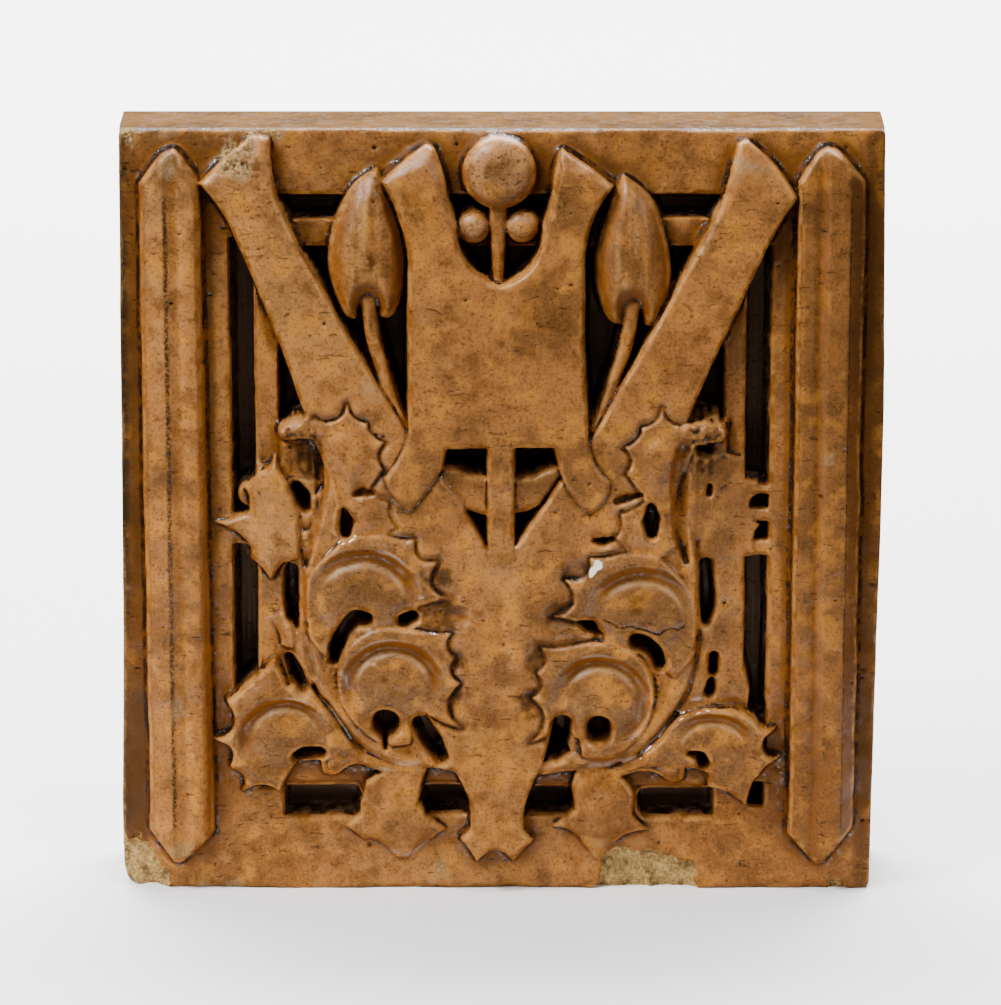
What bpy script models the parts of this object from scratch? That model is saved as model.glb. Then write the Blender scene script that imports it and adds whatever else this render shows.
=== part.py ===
"""A pressed and glazed terracotta ornament block, about a foot square, that stands on its bed face.

Carved work is drawn on a face grid of millimetres, x to the right of the centre line and z up from the
bed, with height as the rise towards the viewer from the flat field between the ornaments. The grid
stretches with the face, so the carving keeps its shares of the block's width and height.

An outline is a ring of (x, z, bow) points, counter-clockwise as seen from the front. The bow is how far
the stretch that follows a point swells outwards in its middle, and a negative bow makes a scallop.
"""

import math

import bmesh
import bpy
from mathutils import Vector

MM = 0.001

# The block, in millimetres.
FACE_WIDTH = 305.0
FACE_HEIGHT = 314.0
BODY_DEPTH = 54.0  # from the field to the back
SIDE_FLARE = 2.5  # how much further out each side is at the back, so that the clay left its mould
FACE_ARRIS = 1.6  # worn edge round the face

# Levels over the field.
RELIEF = 9.0  # straps and bars
PANEL_RISE = 1.6  # panel over the straps
LEAF_RISE = 1.9  # leaf rims over the straps, the highest work on the face
DOME_SINK = 1.2  # crown of a leaf's dome under its rim
GROOVE_SINK = 4.2  # groove between dome and rim
STEM_SINK = 2.4  # leaf stems under the straps
BAND_SINK = 1.6  # lattice bands below the field
RECESS_DEPTH = 22.0  # pierced grounds below the field
HOLLOW_SINK = 9.0  # the shallow scoop under each bud, below the straps
ROOT = 3.0  # how deep a carved body runs on into the ground

# The lattice and the side bars.
BAR_MARGIN = 8.6  # field outside a bar
BAR_WIDTH = 25.0
BAR_END_GAP = 7.0  # field beyond a bar's peak
BAR_PEAK = 11.5  # from a bar's shoulder to its peak
SLOT_MARGIN = 44.1  # from the side of the face to the slot
SLOT_WIDTH = 9.6
BAND_WIDTH = 9.5
TOP_SLOT_MARGIN = 26.0
TOP_BAND_WIDTH = 11.5
BOTTOM_SLOT_MARGIN = 31.0
BOTTOM_SLOT_WIDTH = 11.8
BOTTOM_BAND_WIDTH = 12.0
SLOT_CORNER = 17.0  # field left standing at each upper corner of the lattice

DRAFT = 0.8  # a wall leans out this much at its root
BALL_SWELL = 0.72  # rise of a berry's round part, in its own half widths
STRAP_ARRIS = 1.0

# The face grid that the carving is drawn on.
GRID_WIDTH = 305.0
GRID_HEIGHT = 314.0
TALLEST = RELIEF + LEAF_RISE
FIELD_Y = (TALLEST - BODY_DEPTH) / 2

# How far each side of the face stands from the centre line, from the bed up: (share of height, mm out).
LEFT_SIDE = ((0.0, 2.9), (0.12, 2.7), (0.35, 1.0), (0.63, 0.1), (1.0, -1.0))
RIGHT_SIDE = ((0.0, -1.1), (0.16, -0.7), (0.48, 0.7), (0.64, 1.2), (1.0, -0.5))
SHIFT_X = (max(out for _, out in LEFT_SIDE) - max(out for _, out in RIGHT_SIDE)) / 2

LYRE = (
    (-98.5, 312.5, 0.6), (-119.3, 293.5, -1.5), (-105.0, 270.0, -1.0), (-80.0, 204.0, 0.0),
    (-27.5, 75.0, 0.0), (-20.3, 54.0, -0.5), (-12.8, 38.0, -0.3), (-12.4, 27.0, 0.0),
    (-16.5, 22.5, -0.5), (-10.0, 13.2, -5.0), (5.0, 13.2, -0.5), (12.8, 21.5, 0.0),
    (9.2, 27.0, -0.3), (9.6, 36.0, -0.5), (16.5, 54.0, 0.0), (23.5, 75.0, 0.0),
    (73.7, 195.0, -0.4), (105.0, 266.0, -0.7), (117.2, 287.5, 2.2), (97.0, 310.5, 0.5),
    (92.8, 308.5, -0.5), (87.5, 286.0, 0.0), (62.5, 237.5, 0.0), (35.6, 190.0, 0.0),
    (5.4, 146.0, 0.0), (-5.4, 144.0, 0.0), (-15.0, 163.0, 0.0), (-37.5, 193.0, 0.0),
    (-60.0, 230.0, 0.0), (-80.0, 268.0, 0.0), (-88.5, 287.0, -0.5), (-91.3, 311.0, 0.4),
)
# Each slope is cut from a hinge line, a to b, down to a low point: (x, z) and how far the point is sunk.
LYRE_SLOPES = (
    ((-121.0, 292.0), (-96.0, 299.5), (-98.5, 312.5), 5.0),
    ((-98.2, 302.0), (-80.0, 267.0), (-91.0, 308.0), 4.6),
    ((95.5, 298.0), (120.0, 286.0), (99.0, 311.5), 4.6),
    ((81.0, 267.0), (96.5, 301.0), (92.0, 308.0), 4.0),
)
PANEL = (
    (-30.0, 309.0, 0.6), (-47.0, 294.5, -2.0), (-37.0, 262.0, 0.2), (-37.0, 198.0, -2.5),
    (-47.0, 175.0, 1.8), (-36.5, 161.0, 0.4), (-21.5, 183.0, -3.6), (-0.3, 182.0, -3.6),
    (21.0, 184.0, 2.5), (35.5, 159.5, 1.8), (44.0, 173.3, -2.0), (35.0, 190.0, 0.0),
    (32.8, 226.0, 0.0), (33.2, 264.0, -2.5), (44.4, 292.5, 0.5), (24.5, 307.0, 1.0),
    (20.5, 293.0, -0.6), (16.5, 277.0, -6.0), (-0.5, 253.0, -6.0), (-17.5, 277.0, -0.6),
    (-22.0, 294.0, 0.4), (-26.5, 307.5, 0.4),
)
PANEL_SLOPES = (
    ((-48.5, 292.0), (-30.0, 301.5), (-36.0, 307.0), 4.6),
    ((25.0, 300.0), (46.0, 290.5), (33.0, 303.5), 4.6),
)
POST = ((-5.6, 190.0, 0.0), (-5.4, 138.0, 0.0), (5.2, 138.0, 0.0), (5.2, 190.0, 0.0))
SWAG = (
    (-32.0, 184.0, -8.5), (32.0, 184.5, 0.0), (20.0, 158.5, 2.0), (-20.0, 158.5, 0.0),
)

# Budded flowers: outline, the point under the crown, and the stem's path with its widths.
LEFT_TULIP = (
    (-48.8, 299.4, 1.2), (-61.0, 290.0, 1.5), (-69.0, 263.5, 1.6), (-62.5, 240.0, 0.8),
    (-57.8, 238.4, 0.0), (-53.6, 247.0, 0.0), (-48.2, 239.0, 0.8), (-42.2, 240.5, 1.0),
    (-38.4, 259.0, 1.2), (-43.0, 284.0, 0.8),
)
RIGHT_TULIP = (
    (48.0, 296.5, 0.8), (41.5, 280.0, 1.0), (37.2, 258.0, 1.2), (42.2, 238.6, 0.8),
    (48.4, 236.8, 0.0), (52.6, 245.0, 0.0), (57.0, 235.8, 0.8), (62.6, 237.0, 1.2),
    (67.7, 256.0, 1.4), (60.5, 286.0, 1.0),
)
TULIPS = (
    (LEFT_TULIP, (-54.0, 266.0), ((-53.2, 250.0), (-50.8, 229.0), (-44.5, 209.0), (-37.0, 193.0))),
    (RIGHT_TULIP, (52.6, 264.0), ((52.4, 248.0), (50.2, 229.0), (44.0, 210.0), (35.8, 191.0))),
)
TULIP_STEM_WIDTHS = (7.6, 6.2, 4.2, 2.2)
# Berries: x, z, radius and the height of the crown.
BERRIES = ((-0.6, 297.5, 14.7, 10.6), (-11.2, 275.2, 6.4, 6.0), (8.3, 275.6, 6.5, 6.0))
BERRY_STEM = ((-1.2, 284.0), (-1.4, 268.0), (-1.2, 251.0))
BERRY_STEM_WIDTHS = (7.0, 5.4, 3.6)

# The leaves of the left half. The right half is their mirror, each piece shifted as the mould has it.
SCROLL = (
    (-80.0, 193.0), (-72.6, 191.5), (-68.6, 182.0), (-68.0, 168.0), (-71.5, 156.0), (-75.5, 146.0),
    (-77.0, 132.0), (-77.0, 117.0), (-75.5, 104.0), (-73.0, 94.0), (-69.0, 84.0), (-64.0, 75.5),
    (-57.0, 67.5), (-48.0, 61.5), (-38.0, 58.0), (-28.0, 56.5), (-17.5, 54.0),
)
SCROLL_WIDTHS = (5.0, 6.5, 7.0, 7.5, 8.0, 8.0, 8.5, 8.5, 9.0, 9.0, 9.5, 9.5, 9.5, 9.0, 8.5, 7.5, 6.0)
LOWER_STEM = ((-36.0, 52.0), (-47.0, 53.5), (-57.0, 57.2), (-66.0, 62.0), (-74.0, 70.0))
LOWER_STEM_WIDTHS = (5.0, 5.0, 6.0, 10.0, 16.0)

# A domed leaf: name, outline, then its dome's centre and half sizes, how far its rim lies under the
# highest one, and its shift on the right half.
DOMED_LEAVES = (
    ("upper_scroll_leaf", (
        (-35.0, 149.5, -0.6), (-46.0, 150.5, 0.8), (-62.0, 150.0, 1.2), (-78.0, 132.0, 0.5),
        (-78.0, 110.0, 0.5), (-70.0, 99.2, 0.0), (-56.0, 109.4, 0.4), (-41.5, 112.0, 0.0),
        (-41.0, 118.0, 0.8), (-33.0, 121.6, -0.8), (-20.0, 124.5, -6.5), (-25.0, 140.5, -4.6),
    ), (-56.0, 122.5), (18.0, 16.6), 0.7, (0.5, -7.6)),
    ("lower_scroll_leaf", (
        (-20.0, 110.5, -0.6), (-34.0, 111.5, 0.6), (-48.0, 112.0, 1.4), (-62.0, 104.5, 1.6),
        (-66.0, 88.0, 1.8), (-57.0, 70.0, 1.4), (-44.0, 63.0, 0.0), (-37.0, 64.0, 0.0),
        (-36.0, 71.0, 0.8), (-30.5, 76.5, 0.4), (-16.0, 70.5, -5.4), (-16.5, 89.5, -3.0),
        (-18.5, 100.0, -2.8),
    ), (-44.0, 87.0), (15.6, 14.6), 0.0, (-4.0, -6.0)),
    ("outer_scroll_leaf", (
        (-92.0, 98.5, -0.6), (-111.5, 81.0, -6.2), (-117.0, 64.8, -4.6), (-110.5, 53.5, -3.4),
        (-105.5, 42.5, -3.6), (-89.5, 43.0, -1.0), (-83.0, 55.5, 0.0), (-72.0, 56.5, 0.0),
        (-60.0, 62.0, 0.0), (-67.5, 74.0, 0.0), (-77.5, 87.0, -0.4), (-87.0, 87.5, 0.0),
    ), (-88.0, 66.0), (13.8, 12.2), 1.1, (0.0, -5.6)),
)
# A flat leaf: name, outline, crown, how far it lies under the highest rim, and its shift on the right.
FLAT_LEAVES = (
    ("crest_leaf", (
        (-61.5, 205.0, -1.8), (-68.0, 197.5, -1.0), (-74.5, 199.0, 0.6), (-76.0, 192.0, 0.4),
        (-69.0, 176.0, 0.0), (-65.5, 161.0, 0.4), (-56.0, 163.0, -0.6), (-47.5, 178.0, -2.6),
        (-46.5, 189.0, -1.8), (-53.5, 197.0, -2.2),
    ), (-61.5, 184.0), 0.5, (3.0, -1.6)),
    ("heart_leaf", (
        (-56.5, 172.0, 0.6), (-66.0, 166.0, 0.4), (-68.0, 152.0, 0.0), (-60.0, 146.0, 0.0),
        (-48.0, 148.5, -0.8), (-42.5, 154.5, -1.8), (-45.0, 164.5, -1.0),
    ), (-56.0, 158.5), 1.5, (3.0, -5.0)),
    ("side_leaf", (
        (-91.5, 181.5, -5.6), (-99.5, 179.5, -0.8), (-103.5, 169.5, -1.4), (-102.0, 159.0, -0.6),
        (-117.5, 155.0, -1.6), (-103.0, 145.5, -0.6), (-103.5, 137.5, -1.0), (-93.0, 130.5, -0.4),
        (-87.5, 138.0, 0.0), (-81.0, 140.5, 0.5), (-79.5, 156.0, 0.0), (-84.0, 164.0, 0.0),
        (-86.5, 173.0, -0.4),
    ), (-92.5, 151.5), 0.9, (1.0, -3.5)),
    ("thorn_leaf", (
        (-80.0, 119.5, 0.0), (-89.0, 116.6, 0.0), (-96.5, 113.3, -1.0), (-90.0, 104.5, 0.0),
        (-84.0, 101.5, 0.0), (-75.0, 103.0, 0.0), (-74.0, 113.0, 0.0),
    ), (-83.5, 110.5), 2.2, (0.0, -4.0)),
    ("foot_leaf", (
        (-44.0, 52.5, 0.8), (-57.0, 47.0, 0.4), (-58.5, 37.0, 0.8), (-64.5, 29.0, 0.6),
        (-58.0, 21.5, -0.6), (-50.0, 18.6, -0.6), (-40.0, 12.8, -0.8), (-32.5, 21.0, -1.0),
        (-24.0, 24.5, -0.8), (-20.5, 29.0, 0.0), (-30.0, 33.5, 0.4), (-33.5, 40.0, 0.6),
        (-31.0, 47.0, 0.0), (-30.0, 53.5, 0.0),
    ), (-43.5, 37.0), 0.6, (0.0, 0.0)),
    ("curled_tip", (
        (-58.0, 61.0, 0.0), (-68.0, 61.5, 0.4), (-73.4, 58.0, 0.2), (-72.5, 51.0, 1.0),
        (-66.0, 50.8, -0.6), (-59.0, 54.8, 0.0), (-53.0, 55.0, 0.0),
    ), (-66.5, 56.5), 1.8, (1.5, -3.0)),
)
# The bud that ends the scroll and the scoop under it.
BUD = (-81.5, 193.5, 8.0, 5.6)
BUD_SHIFT = (2.0, 0.0)
SCOOP = (
    (-84.0, 188.0, 0.0), (-87.0, 181.0, 0.6), (-84.0, 171.0, 0.0), (-76.0, 170.0, 0.0),
    (-69.0, 178.0, 0.0), (-71.0, 188.0, 0.0),
)
# Holes pierced through the leaves: a path, the width at each end, and the shift on the right half.
EYES = (
    (((-54.0, 115.5), (-58.5, 118.2), (-64.0, 115.0), (-67.5, 108.5), (-67.8, 102.0)), 5.6, (-2.5, -6.0)),
    (((-46.6, 75.5), (-46.6, 72.8)), 10.6, (-6.8, -3.6)),
    (((-45.6, 68.0), (-46.4, 64.8)), 3.2, (-6.8, -3.6)),
    (((-84.5, 59.4), (-79.5, 61.2), (-74.4, 60.6)), 4.6, (-1.0, -2.0)),
    (((-63.2, 160.5), (-62.0, 155.0)), 5.4, (-1.5, 0.0)),
    (((-60.0, 167.8), (-53.0, 168.0)), 4.6, (-4.0, -1.0)),
    (((-81.8, 168.6), (-79.2, 165.0)), 6.6, (4.0, 2.0)),
    (((-38.0, 115.2), (-34.6, 116.8)), 4.6, (0.0, -4.4)),
)
RIGHT_EYE = (((54.5, 109.0), (59.0, 106.5), (63.5, 100.5)), 6.4)

# Broken places: centre (x, z, height), half sizes, and the tilt of the break in degrees.
CORNER_BREAK = ((-150.0, 7.0, 1.0), (19.0, 9.0, 15.5), 14.0)
EDGE_BREAK = ((61.5, 4.0, 2.2), (23.0, 6.4, 12.5), -7.0)
TOE_BREAK = ((139.0, 0.0, 2.0), (8.0, 4.0, 4.5), 4.0)

OUTLINE_STEPS = 2  # stretches of a bowed run
SCROLL_STEPS = 2  # samples between two points of a stem's path


def clear_scene():
    for thing in list(bpy.data.objects):
        bpy.data.objects.remove(thing, do_unlink=True)


def on_face(x, height, z):
    """A point of the face grid in metres, in the block's own frame."""
    across = x * FACE_WIDTH / GRID_WIDTH + SHIFT_X
    up = z * FACE_HEIGHT / GRID_HEIGHT
    return Vector((across, FIELD_Y - height, up)) * MM


def material():
    glaze = bpy.data.materials.new("glazed_terracotta")
    glaze.use_nodes = True
    shader = glaze.node_tree.nodes["Principled BSDF"]
    shader.inputs["Base Color"].default_value = (0.40, 0.19, 0.06, 1.0)
    shader.inputs["Roughness"].default_value = 0.38
    shader.inputs["Metallic"].default_value = 0.0
    return glaze


def object_from(name, points, faces, collection):
    """A mesh object with its faces turned outwards."""
    mesh = bpy.data.meshes.new(name)
    mesh.from_pydata(points, [], faces)
    work = bmesh.new()
    work.from_mesh(mesh)
    bmesh.ops.recalc_face_normals(work, faces=work.faces)
    work.to_mesh(mesh)
    work.free()
    thing = bpy.data.objects.new(name, mesh)
    collection.objects.link(thing)
    return thing


def helper_collection(name):
    group = bpy.data.collections.new(name)
    bpy.context.scene.collection.children.link(group)
    return group


def hide_helpers(group):
    for thing in group.objects:
        thing.hide_render = True
        thing.display_type = "WIRE"


def join_by(target, name, operation, group):
    step = target.modifiers.new(name, "BOOLEAN")
    step.operation = operation
    step.solver = "EXACT"
    step.operand_type = "COLLECTION"
    step.collection = group


def sampled(outline):
    """The outline as plain (x, z) points, with each bowed stretch cut into short ones."""
    ring = []
    for (x0, z0, bow), (x1, z1, _) in zip(outline, outline[1:] + outline[:1]):
        run_x, run_z = x1 - x0, z1 - z0
        length = math.hypot(run_x, run_z)
        steps = OUTLINE_STEPS if abs(bow) >= 0.4 else 1
        steps += abs(bow) > 2.0
        for step in range(steps):
            t = step / steps
            swell = bow * 4 * t * (1 - t) / length
            ring.append((x0 + run_x * t + run_z * swell, z0 + run_z * t - run_x * swell))
    return ring


def offset(ring, distance):
    """The ring moved out by a distance, along the mitre of each corner."""
    moved = []
    for before, here, after in zip(ring[-1:] + ring[:-1], ring, ring[1:] + ring[:1]):
        into = Vector(here) - Vector(before)
        out_of = Vector(after) - Vector(here)
        first = Vector((into.y, -into.x)).normalized()
        second = Vector((out_of.y, -out_of.x)).normalized()
        mitre = (first + second).normalized()
        reach = distance / max(mitre.dot(first), 0.55)
        moved.append((here[0] + mitre.x * reach, here[1] + mitre.y * reach))
    return moved


def stack(name, layers, group):
    """A closed body from rings that hold as many points each, listed from the back to the front."""
    count = len(layers[0][0])
    points = [on_face(x, height, z) for ring, height in layers for x, z in ring]
    faces = [tuple(reversed(range(count)))]
    for level in range(len(layers) - 1):
        low, high = level * count, (level + 1) * count
        for k in range(count):
            after = (k + 1) % count
            faces.append((low + k, low + after, high + after, high + k))
    top = (len(layers) - 1) * count
    faces.append(tuple(range(top, top + count)))
    return object_from(name, points, faces, group)


def plateau(name, outline, height, group, arris=STRAP_ARRIS):
    """A flat raised body with leaning walls and a softened edge."""
    ring = sampled(outline)
    layers = (
        (offset(ring, DRAFT), -RECESS_DEPTH - ROOT),
        (ring, height - arris),
        (offset(ring, -arris), height),
    )
    return stack(name, layers, group)


def mound(name, ring, centre, shares, crown, group):
    """A body that closes over its centre: copies of the ring at (share of its size, height)."""
    points = []
    for share, height in shares:
        for x, z in ring:
            px = centre[0] + (x - centre[0]) * share
            pz = centre[1] + (z - centre[1]) * share
            points.append(on_face(px, height, pz))
    count, levels = len(ring), len(shares)
    faces = [tuple(reversed(range(count)))]
    for level in range(levels - 1):
        for k in range(count):
            after = (k + 1) % count
            low, high = level * count, (level + 1) * count
            faces.append((low + k, low + after, high + after, high + k))
    points.append(on_face(centre[0], crown, centre[1]))
    last = (levels - 1) * count
    faces += [(last + k, last + (k + 1) % count, levels * count) for k in range(count)]
    return object_from(name, points, faces, group)


def domed_leaf(name, outline, centre, half, drop, group):
    """A rolled leaf: a toothed rim, a groove inside it and a dome in the middle."""
    ring = sampled(outline)
    rim = TALLEST - drop
    root_share = 1.0 + DRAFT / 20
    levels = (  # times the dome's own size, share of the outline it may reach, height
        (1.42, 0.93, rim),
        (1.20, 0.86, rim - GROOVE_SINK),
        (1.00, 0.78, rim - DOME_SINK - 1.0),
        (0.50, 0.40, rim - DOME_SINK),
    )
    layers = [([(centre[0] + (x - centre[0]) * root_share, centre[1] + (z - centre[1]) * root_share)
                for x, z in ring], -RECESS_DEPTH - ROOT), (ring, rim - 1.0)]
    for times, most, height in levels:
        level_ring = []
        for x, z in ring:
            dx, dz = x - centre[0], z - centre[1]
            reach = math.hypot(dx, dz)
            dome = 1 / math.hypot(dx / reach / half[0], dz / reach / half[1])
            share = min(times * dome, most * reach) / reach
            level_ring.append((centre[0] + dx * share, centre[1] + dz * share))
        layers.append((level_ring, height))
    return stack(name, layers, group)


def flat_leaf(name, outline, crown, drop, group):
    """A leaf with a gently hollowed, raised edge and a low swelling round its crown."""
    top = TALLEST - drop
    root_share = 1.0 + DRAFT / 20
    shares = (
        (root_share, -RECESS_DEPTH - ROOT), (1.0, top - 1.6), (0.9, top - 0.8),
        (0.62, top - 1.8), (0.3, top - 0.8),
    )
    return mound(name, sampled(outline), crown, shares, shares[-1][1] + 0.2, group)


def through(points, widths, steps):
    """Points and widths read along a smooth curve through the ones given."""
    path = [Vector(p) for p in points]
    path = [path[0] * 2 - path[1]] + path + [path[-1] * 2 - path[-2]]
    run = []
    for k in range(len(points) - 1):
        a, b, c, d = path[k:k + 4]
        for step in range(steps):
            t = step / steps
            spot = (b * 2 + (c - a) * t + (a * 2 - b * 5 + c * 4 - d) * t * t
                    + (b * 3 - a - c * 3 + d) * t ** 3) / 2
            run.append((spot, widths[k] + (widths[k + 1] - widths[k]) * t))
    run.append((path[-2], widths[-1]))
    return run


def stem(name, points, widths, height, group, crown=1.6, steps=SCROLL_STEPS):
    """A stem with a rounded back, following a path over the ground."""
    run = through(points, widths, steps)
    profile = ((-0.5 - 0.04, None), (-0.5, height - crown), (-0.22, height - 0.3), (0.22, height - 0.3),
               (0.5, height - crown), (0.5 + 0.04, None))
    vertices = []
    for k, (spot, width) in enumerate(run):
        ahead = run[min(k + 1, len(run) - 1)][0] - run[max(k - 1, 0)][0]
        side = Vector((ahead.y, -ahead.x)).normalized()
        for across, level in profile:
            x, z = spot + side * width * across
            vertices.append(on_face(x, -RECESS_DEPTH - ROOT if level is None else level, z))
    count, rows = len(profile), len(run)
    faces = [tuple(range(count)), tuple(reversed(range((rows - 1) * count, rows * count)))]
    for row in range(rows - 1):
        here, after = row * count, (row + 1) * count
        for k in range(count):
            nxt = (k + 1) % count
            faces.append((here + k, after + k, after + nxt, here + nxt))
    return object_from(name, vertices, faces, group)


def ball(name, x, z, half_x, half_z, crown, root, group, around=14, up=4):
    """Half of a squashed ball on a short round foot."""
    ring = [(x + half_x * math.cos(math.tau * k / around), z + half_z * math.sin(math.tau * k / around))
            for k in range(around)]
    swell = half_x * BALL_SWELL
    shares = [(1.0, root), (1.0, crown - swell)]
    for k in range(1, up):
        angle = math.pi / 2 * k / up
        shares.append((math.cos(angle), crown - swell * (1 - math.sin(angle))))
    return mound(name, ring, (x, z), shares, crown, group)


def tulip(name, outline, crown, group):
    """A closed flower: a swelling body with a soft ridge down each side of its front."""
    top = RELIEF + 0.9
    shares = ((1.03, -RECESS_DEPTH - ROOT), (1.0, top - 8.0), (0.93, top - 4.4), (0.72, top - 1.4),
              (0.4, top - 0.3))
    return mound(name, sampled(outline), crown, shares, top, group)


def slope_cutter(name, a, b, low, sink, top, group):
    """A wedge that planes a body down from the hinge a to b, by `sink` at the low point."""
    ax, az = a
    bx, bz = b
    along = Vector((bx - ax, bz - az))
    side = Vector((-along.y, along.x)).normalized()
    away = (Vector(low) - Vector(a)).dot(side)
    if away < 0:
        side, away = -side, -away
    reach = away * 2.2
    fall = sink * reach / away
    corners = []
    for (x, z), step, level in ((a, 0.0, top), (b, 0.0, top), (b, reach, top - fall), (a, reach, top - fall)):
        corners.append((x + side.x * step, z + side.y * step, level))
    raised = [(x, z, level + 9.0) for x, z, level in corners]
    points = [on_face(x, level, z) for x, z, level in corners + raised]
    faces = [(0, 3, 2, 1), (4, 5, 6, 7), (0, 1, 5, 4), (1, 2, 6, 5), (2, 3, 7, 6), (3, 0, 4, 7)]
    return object_from(name, points, faces, group)


def trench(name, x0, x1, z0, z1, depth, group):
    """A straight cutter into the ground, a little narrower at its floor."""
    ring = [(x0, z0), (x1, z0), (x1, z1), (x0, z1)]
    layers = (
        (offset(ring, -DRAFT), -depth),
        (ring, 0.0),
        (offset(ring, 0.3), 5.0),
    )
    return stack(name, layers, group)


def eye_cutter(name, path, width, group):
    """A round-ended cutter that follows a path and goes down to the ground."""
    run = through(path, [width] * len(path), 2) if len(path) > 2 else [(Vector(p), width) for p in path]
    spots = [spot for spot, _ in run]
    left, right = [], []
    for k, spot in enumerate(spots):
        ahead = spots[min(k + 1, len(spots) - 1)] - spots[max(k - 1, 0)]
        side = Vector((ahead.y, -ahead.x)).normalized() * width / 2
        right.append(tuple(spot + side))
        left.append(tuple(spot - side))
    ends = []
    for spot, ahead in ((spots[-1], spots[-1] - spots[-2]), (spots[0], spots[0] - spots[1])):
        turn = math.atan2(ahead.y, ahead.x)
        ends.append([(spot.x + width / 2 * math.cos(turn + a), spot.y + width / 2 * math.sin(turn + a))
                     for a in (-0.8, 0.0, 0.8)])
    ring = right + ends[0] + left[::-1] + ends[1]
    return stack(name, ((ring, -RECESS_DEPTH + 1.5), (ring, TALLEST + 4.0)), group)


def mirrored(outline, shift):
    """An outline of the left half turned over for the right half, still counter-clockwise."""
    dx, dz = shift
    points = list(outline)
    turned = []
    for k in range(len(points) - 1, -1, -1):
        x, z, _ = points[k]
        turned.append((-x + dx, z + dz, points[k - 1][2]))
    return tuple(turned)


def mirrored_path(path, shift=(0.0, 0.0)):
    return tuple((-x + shift[0], z + shift[1]) for x, z in path)


def block_ring(flare, inset):
    """The block's outline at one depth: up the right side and down the left."""
    half = FACE_WIDTH / 2 + flare - inset
    ring = []
    for share, out in RIGHT_SIDE:
        ring.append((half + out, share * FACE_HEIGHT))
    for share, out in reversed(LEFT_SIDE):
        ring.append((-half - out, share * FACE_HEIGHT))
    return [(x, min(max(z, inset), FACE_HEIGHT - inset)) for x, z in ring]


def block_point(x, depth, z):
    return Vector((x + SHIFT_X, FIELD_Y + depth, z)) * MM


def block_body():
    """The plain block, with leaning sides and a worn edge round the face."""
    layers = (
        (block_ring(0.0, FACE_ARRIS), 0.0),
        (block_ring(0.0, 0.0), FACE_ARRIS),
        (block_ring(SIDE_FLARE, 0.0), BODY_DEPTH),
    )
    points = [block_point(x, depth, z) for ring, depth in layers for x, z in ring]
    count = len(layers[0][0])
    faces = [tuple(range(count)), tuple(reversed(range(2 * count, 3 * count)))]
    for level in range(2):
        for k in range(count):
            after = (k + 1) % count
            low, high = level * count, (level + 1) * count
            faces.append((low + k, high + k, high + after, low + after))
    return object_from("terracotta_block", points, faces, bpy.context.scene.collection)


def lattice(group):
    """The sunk panel, the ground behind the leaves and the slots round the bands."""
    slot_out = GRID_WIDTH / 2 - SLOT_MARGIN
    slot_in = slot_out - SLOT_WIDTH
    ground = slot_in - BAND_WIDTH
    top = GRID_HEIGHT - TOP_SLOT_MARGIN
    band_top = top - SLOT_WIDTH
    ground_top = band_top - TOP_BAND_WIDTH
    bottom = BOTTOM_SLOT_MARGIN
    band_bottom = bottom + BOTTOM_SLOT_WIDTH
    ground_bottom = band_bottom + BOTTOM_BAND_WIDTH
    depth = RECESS_DEPTH
    trench("band_level", -slot_in - 0.4, slot_in + 0.4, band_bottom - 0.4, band_top + 0.4, BAND_SINK, group)
    trench("ground", -ground, ground, ground_bottom, ground_top, depth, group)
    trench("left_slot", -slot_out, -slot_in, band_bottom + BOTTOM_SLOT_WIDTH * 3, top - SLOT_CORNER, depth, group)
    trench("right_slot", slot_in, slot_out, bottom + 25.0, top - SLOT_CORNER - 3.0, depth, group)
    trench("top_slot", -ground + 0.6, ground - 0.6, band_top, top, depth, group)
    trench("left_foot_slot", -ground - 0.2, -8.0, bottom, band_bottom, depth, group)
    trench("right_foot_slot", 6.0, ground - 2.4, bottom, band_bottom, depth, group)
    trench("foot_hole", slot_in + 3.4, slot_out - 0.8, bottom + 4.2, band_bottom + 1.0, depth, group)


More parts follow.
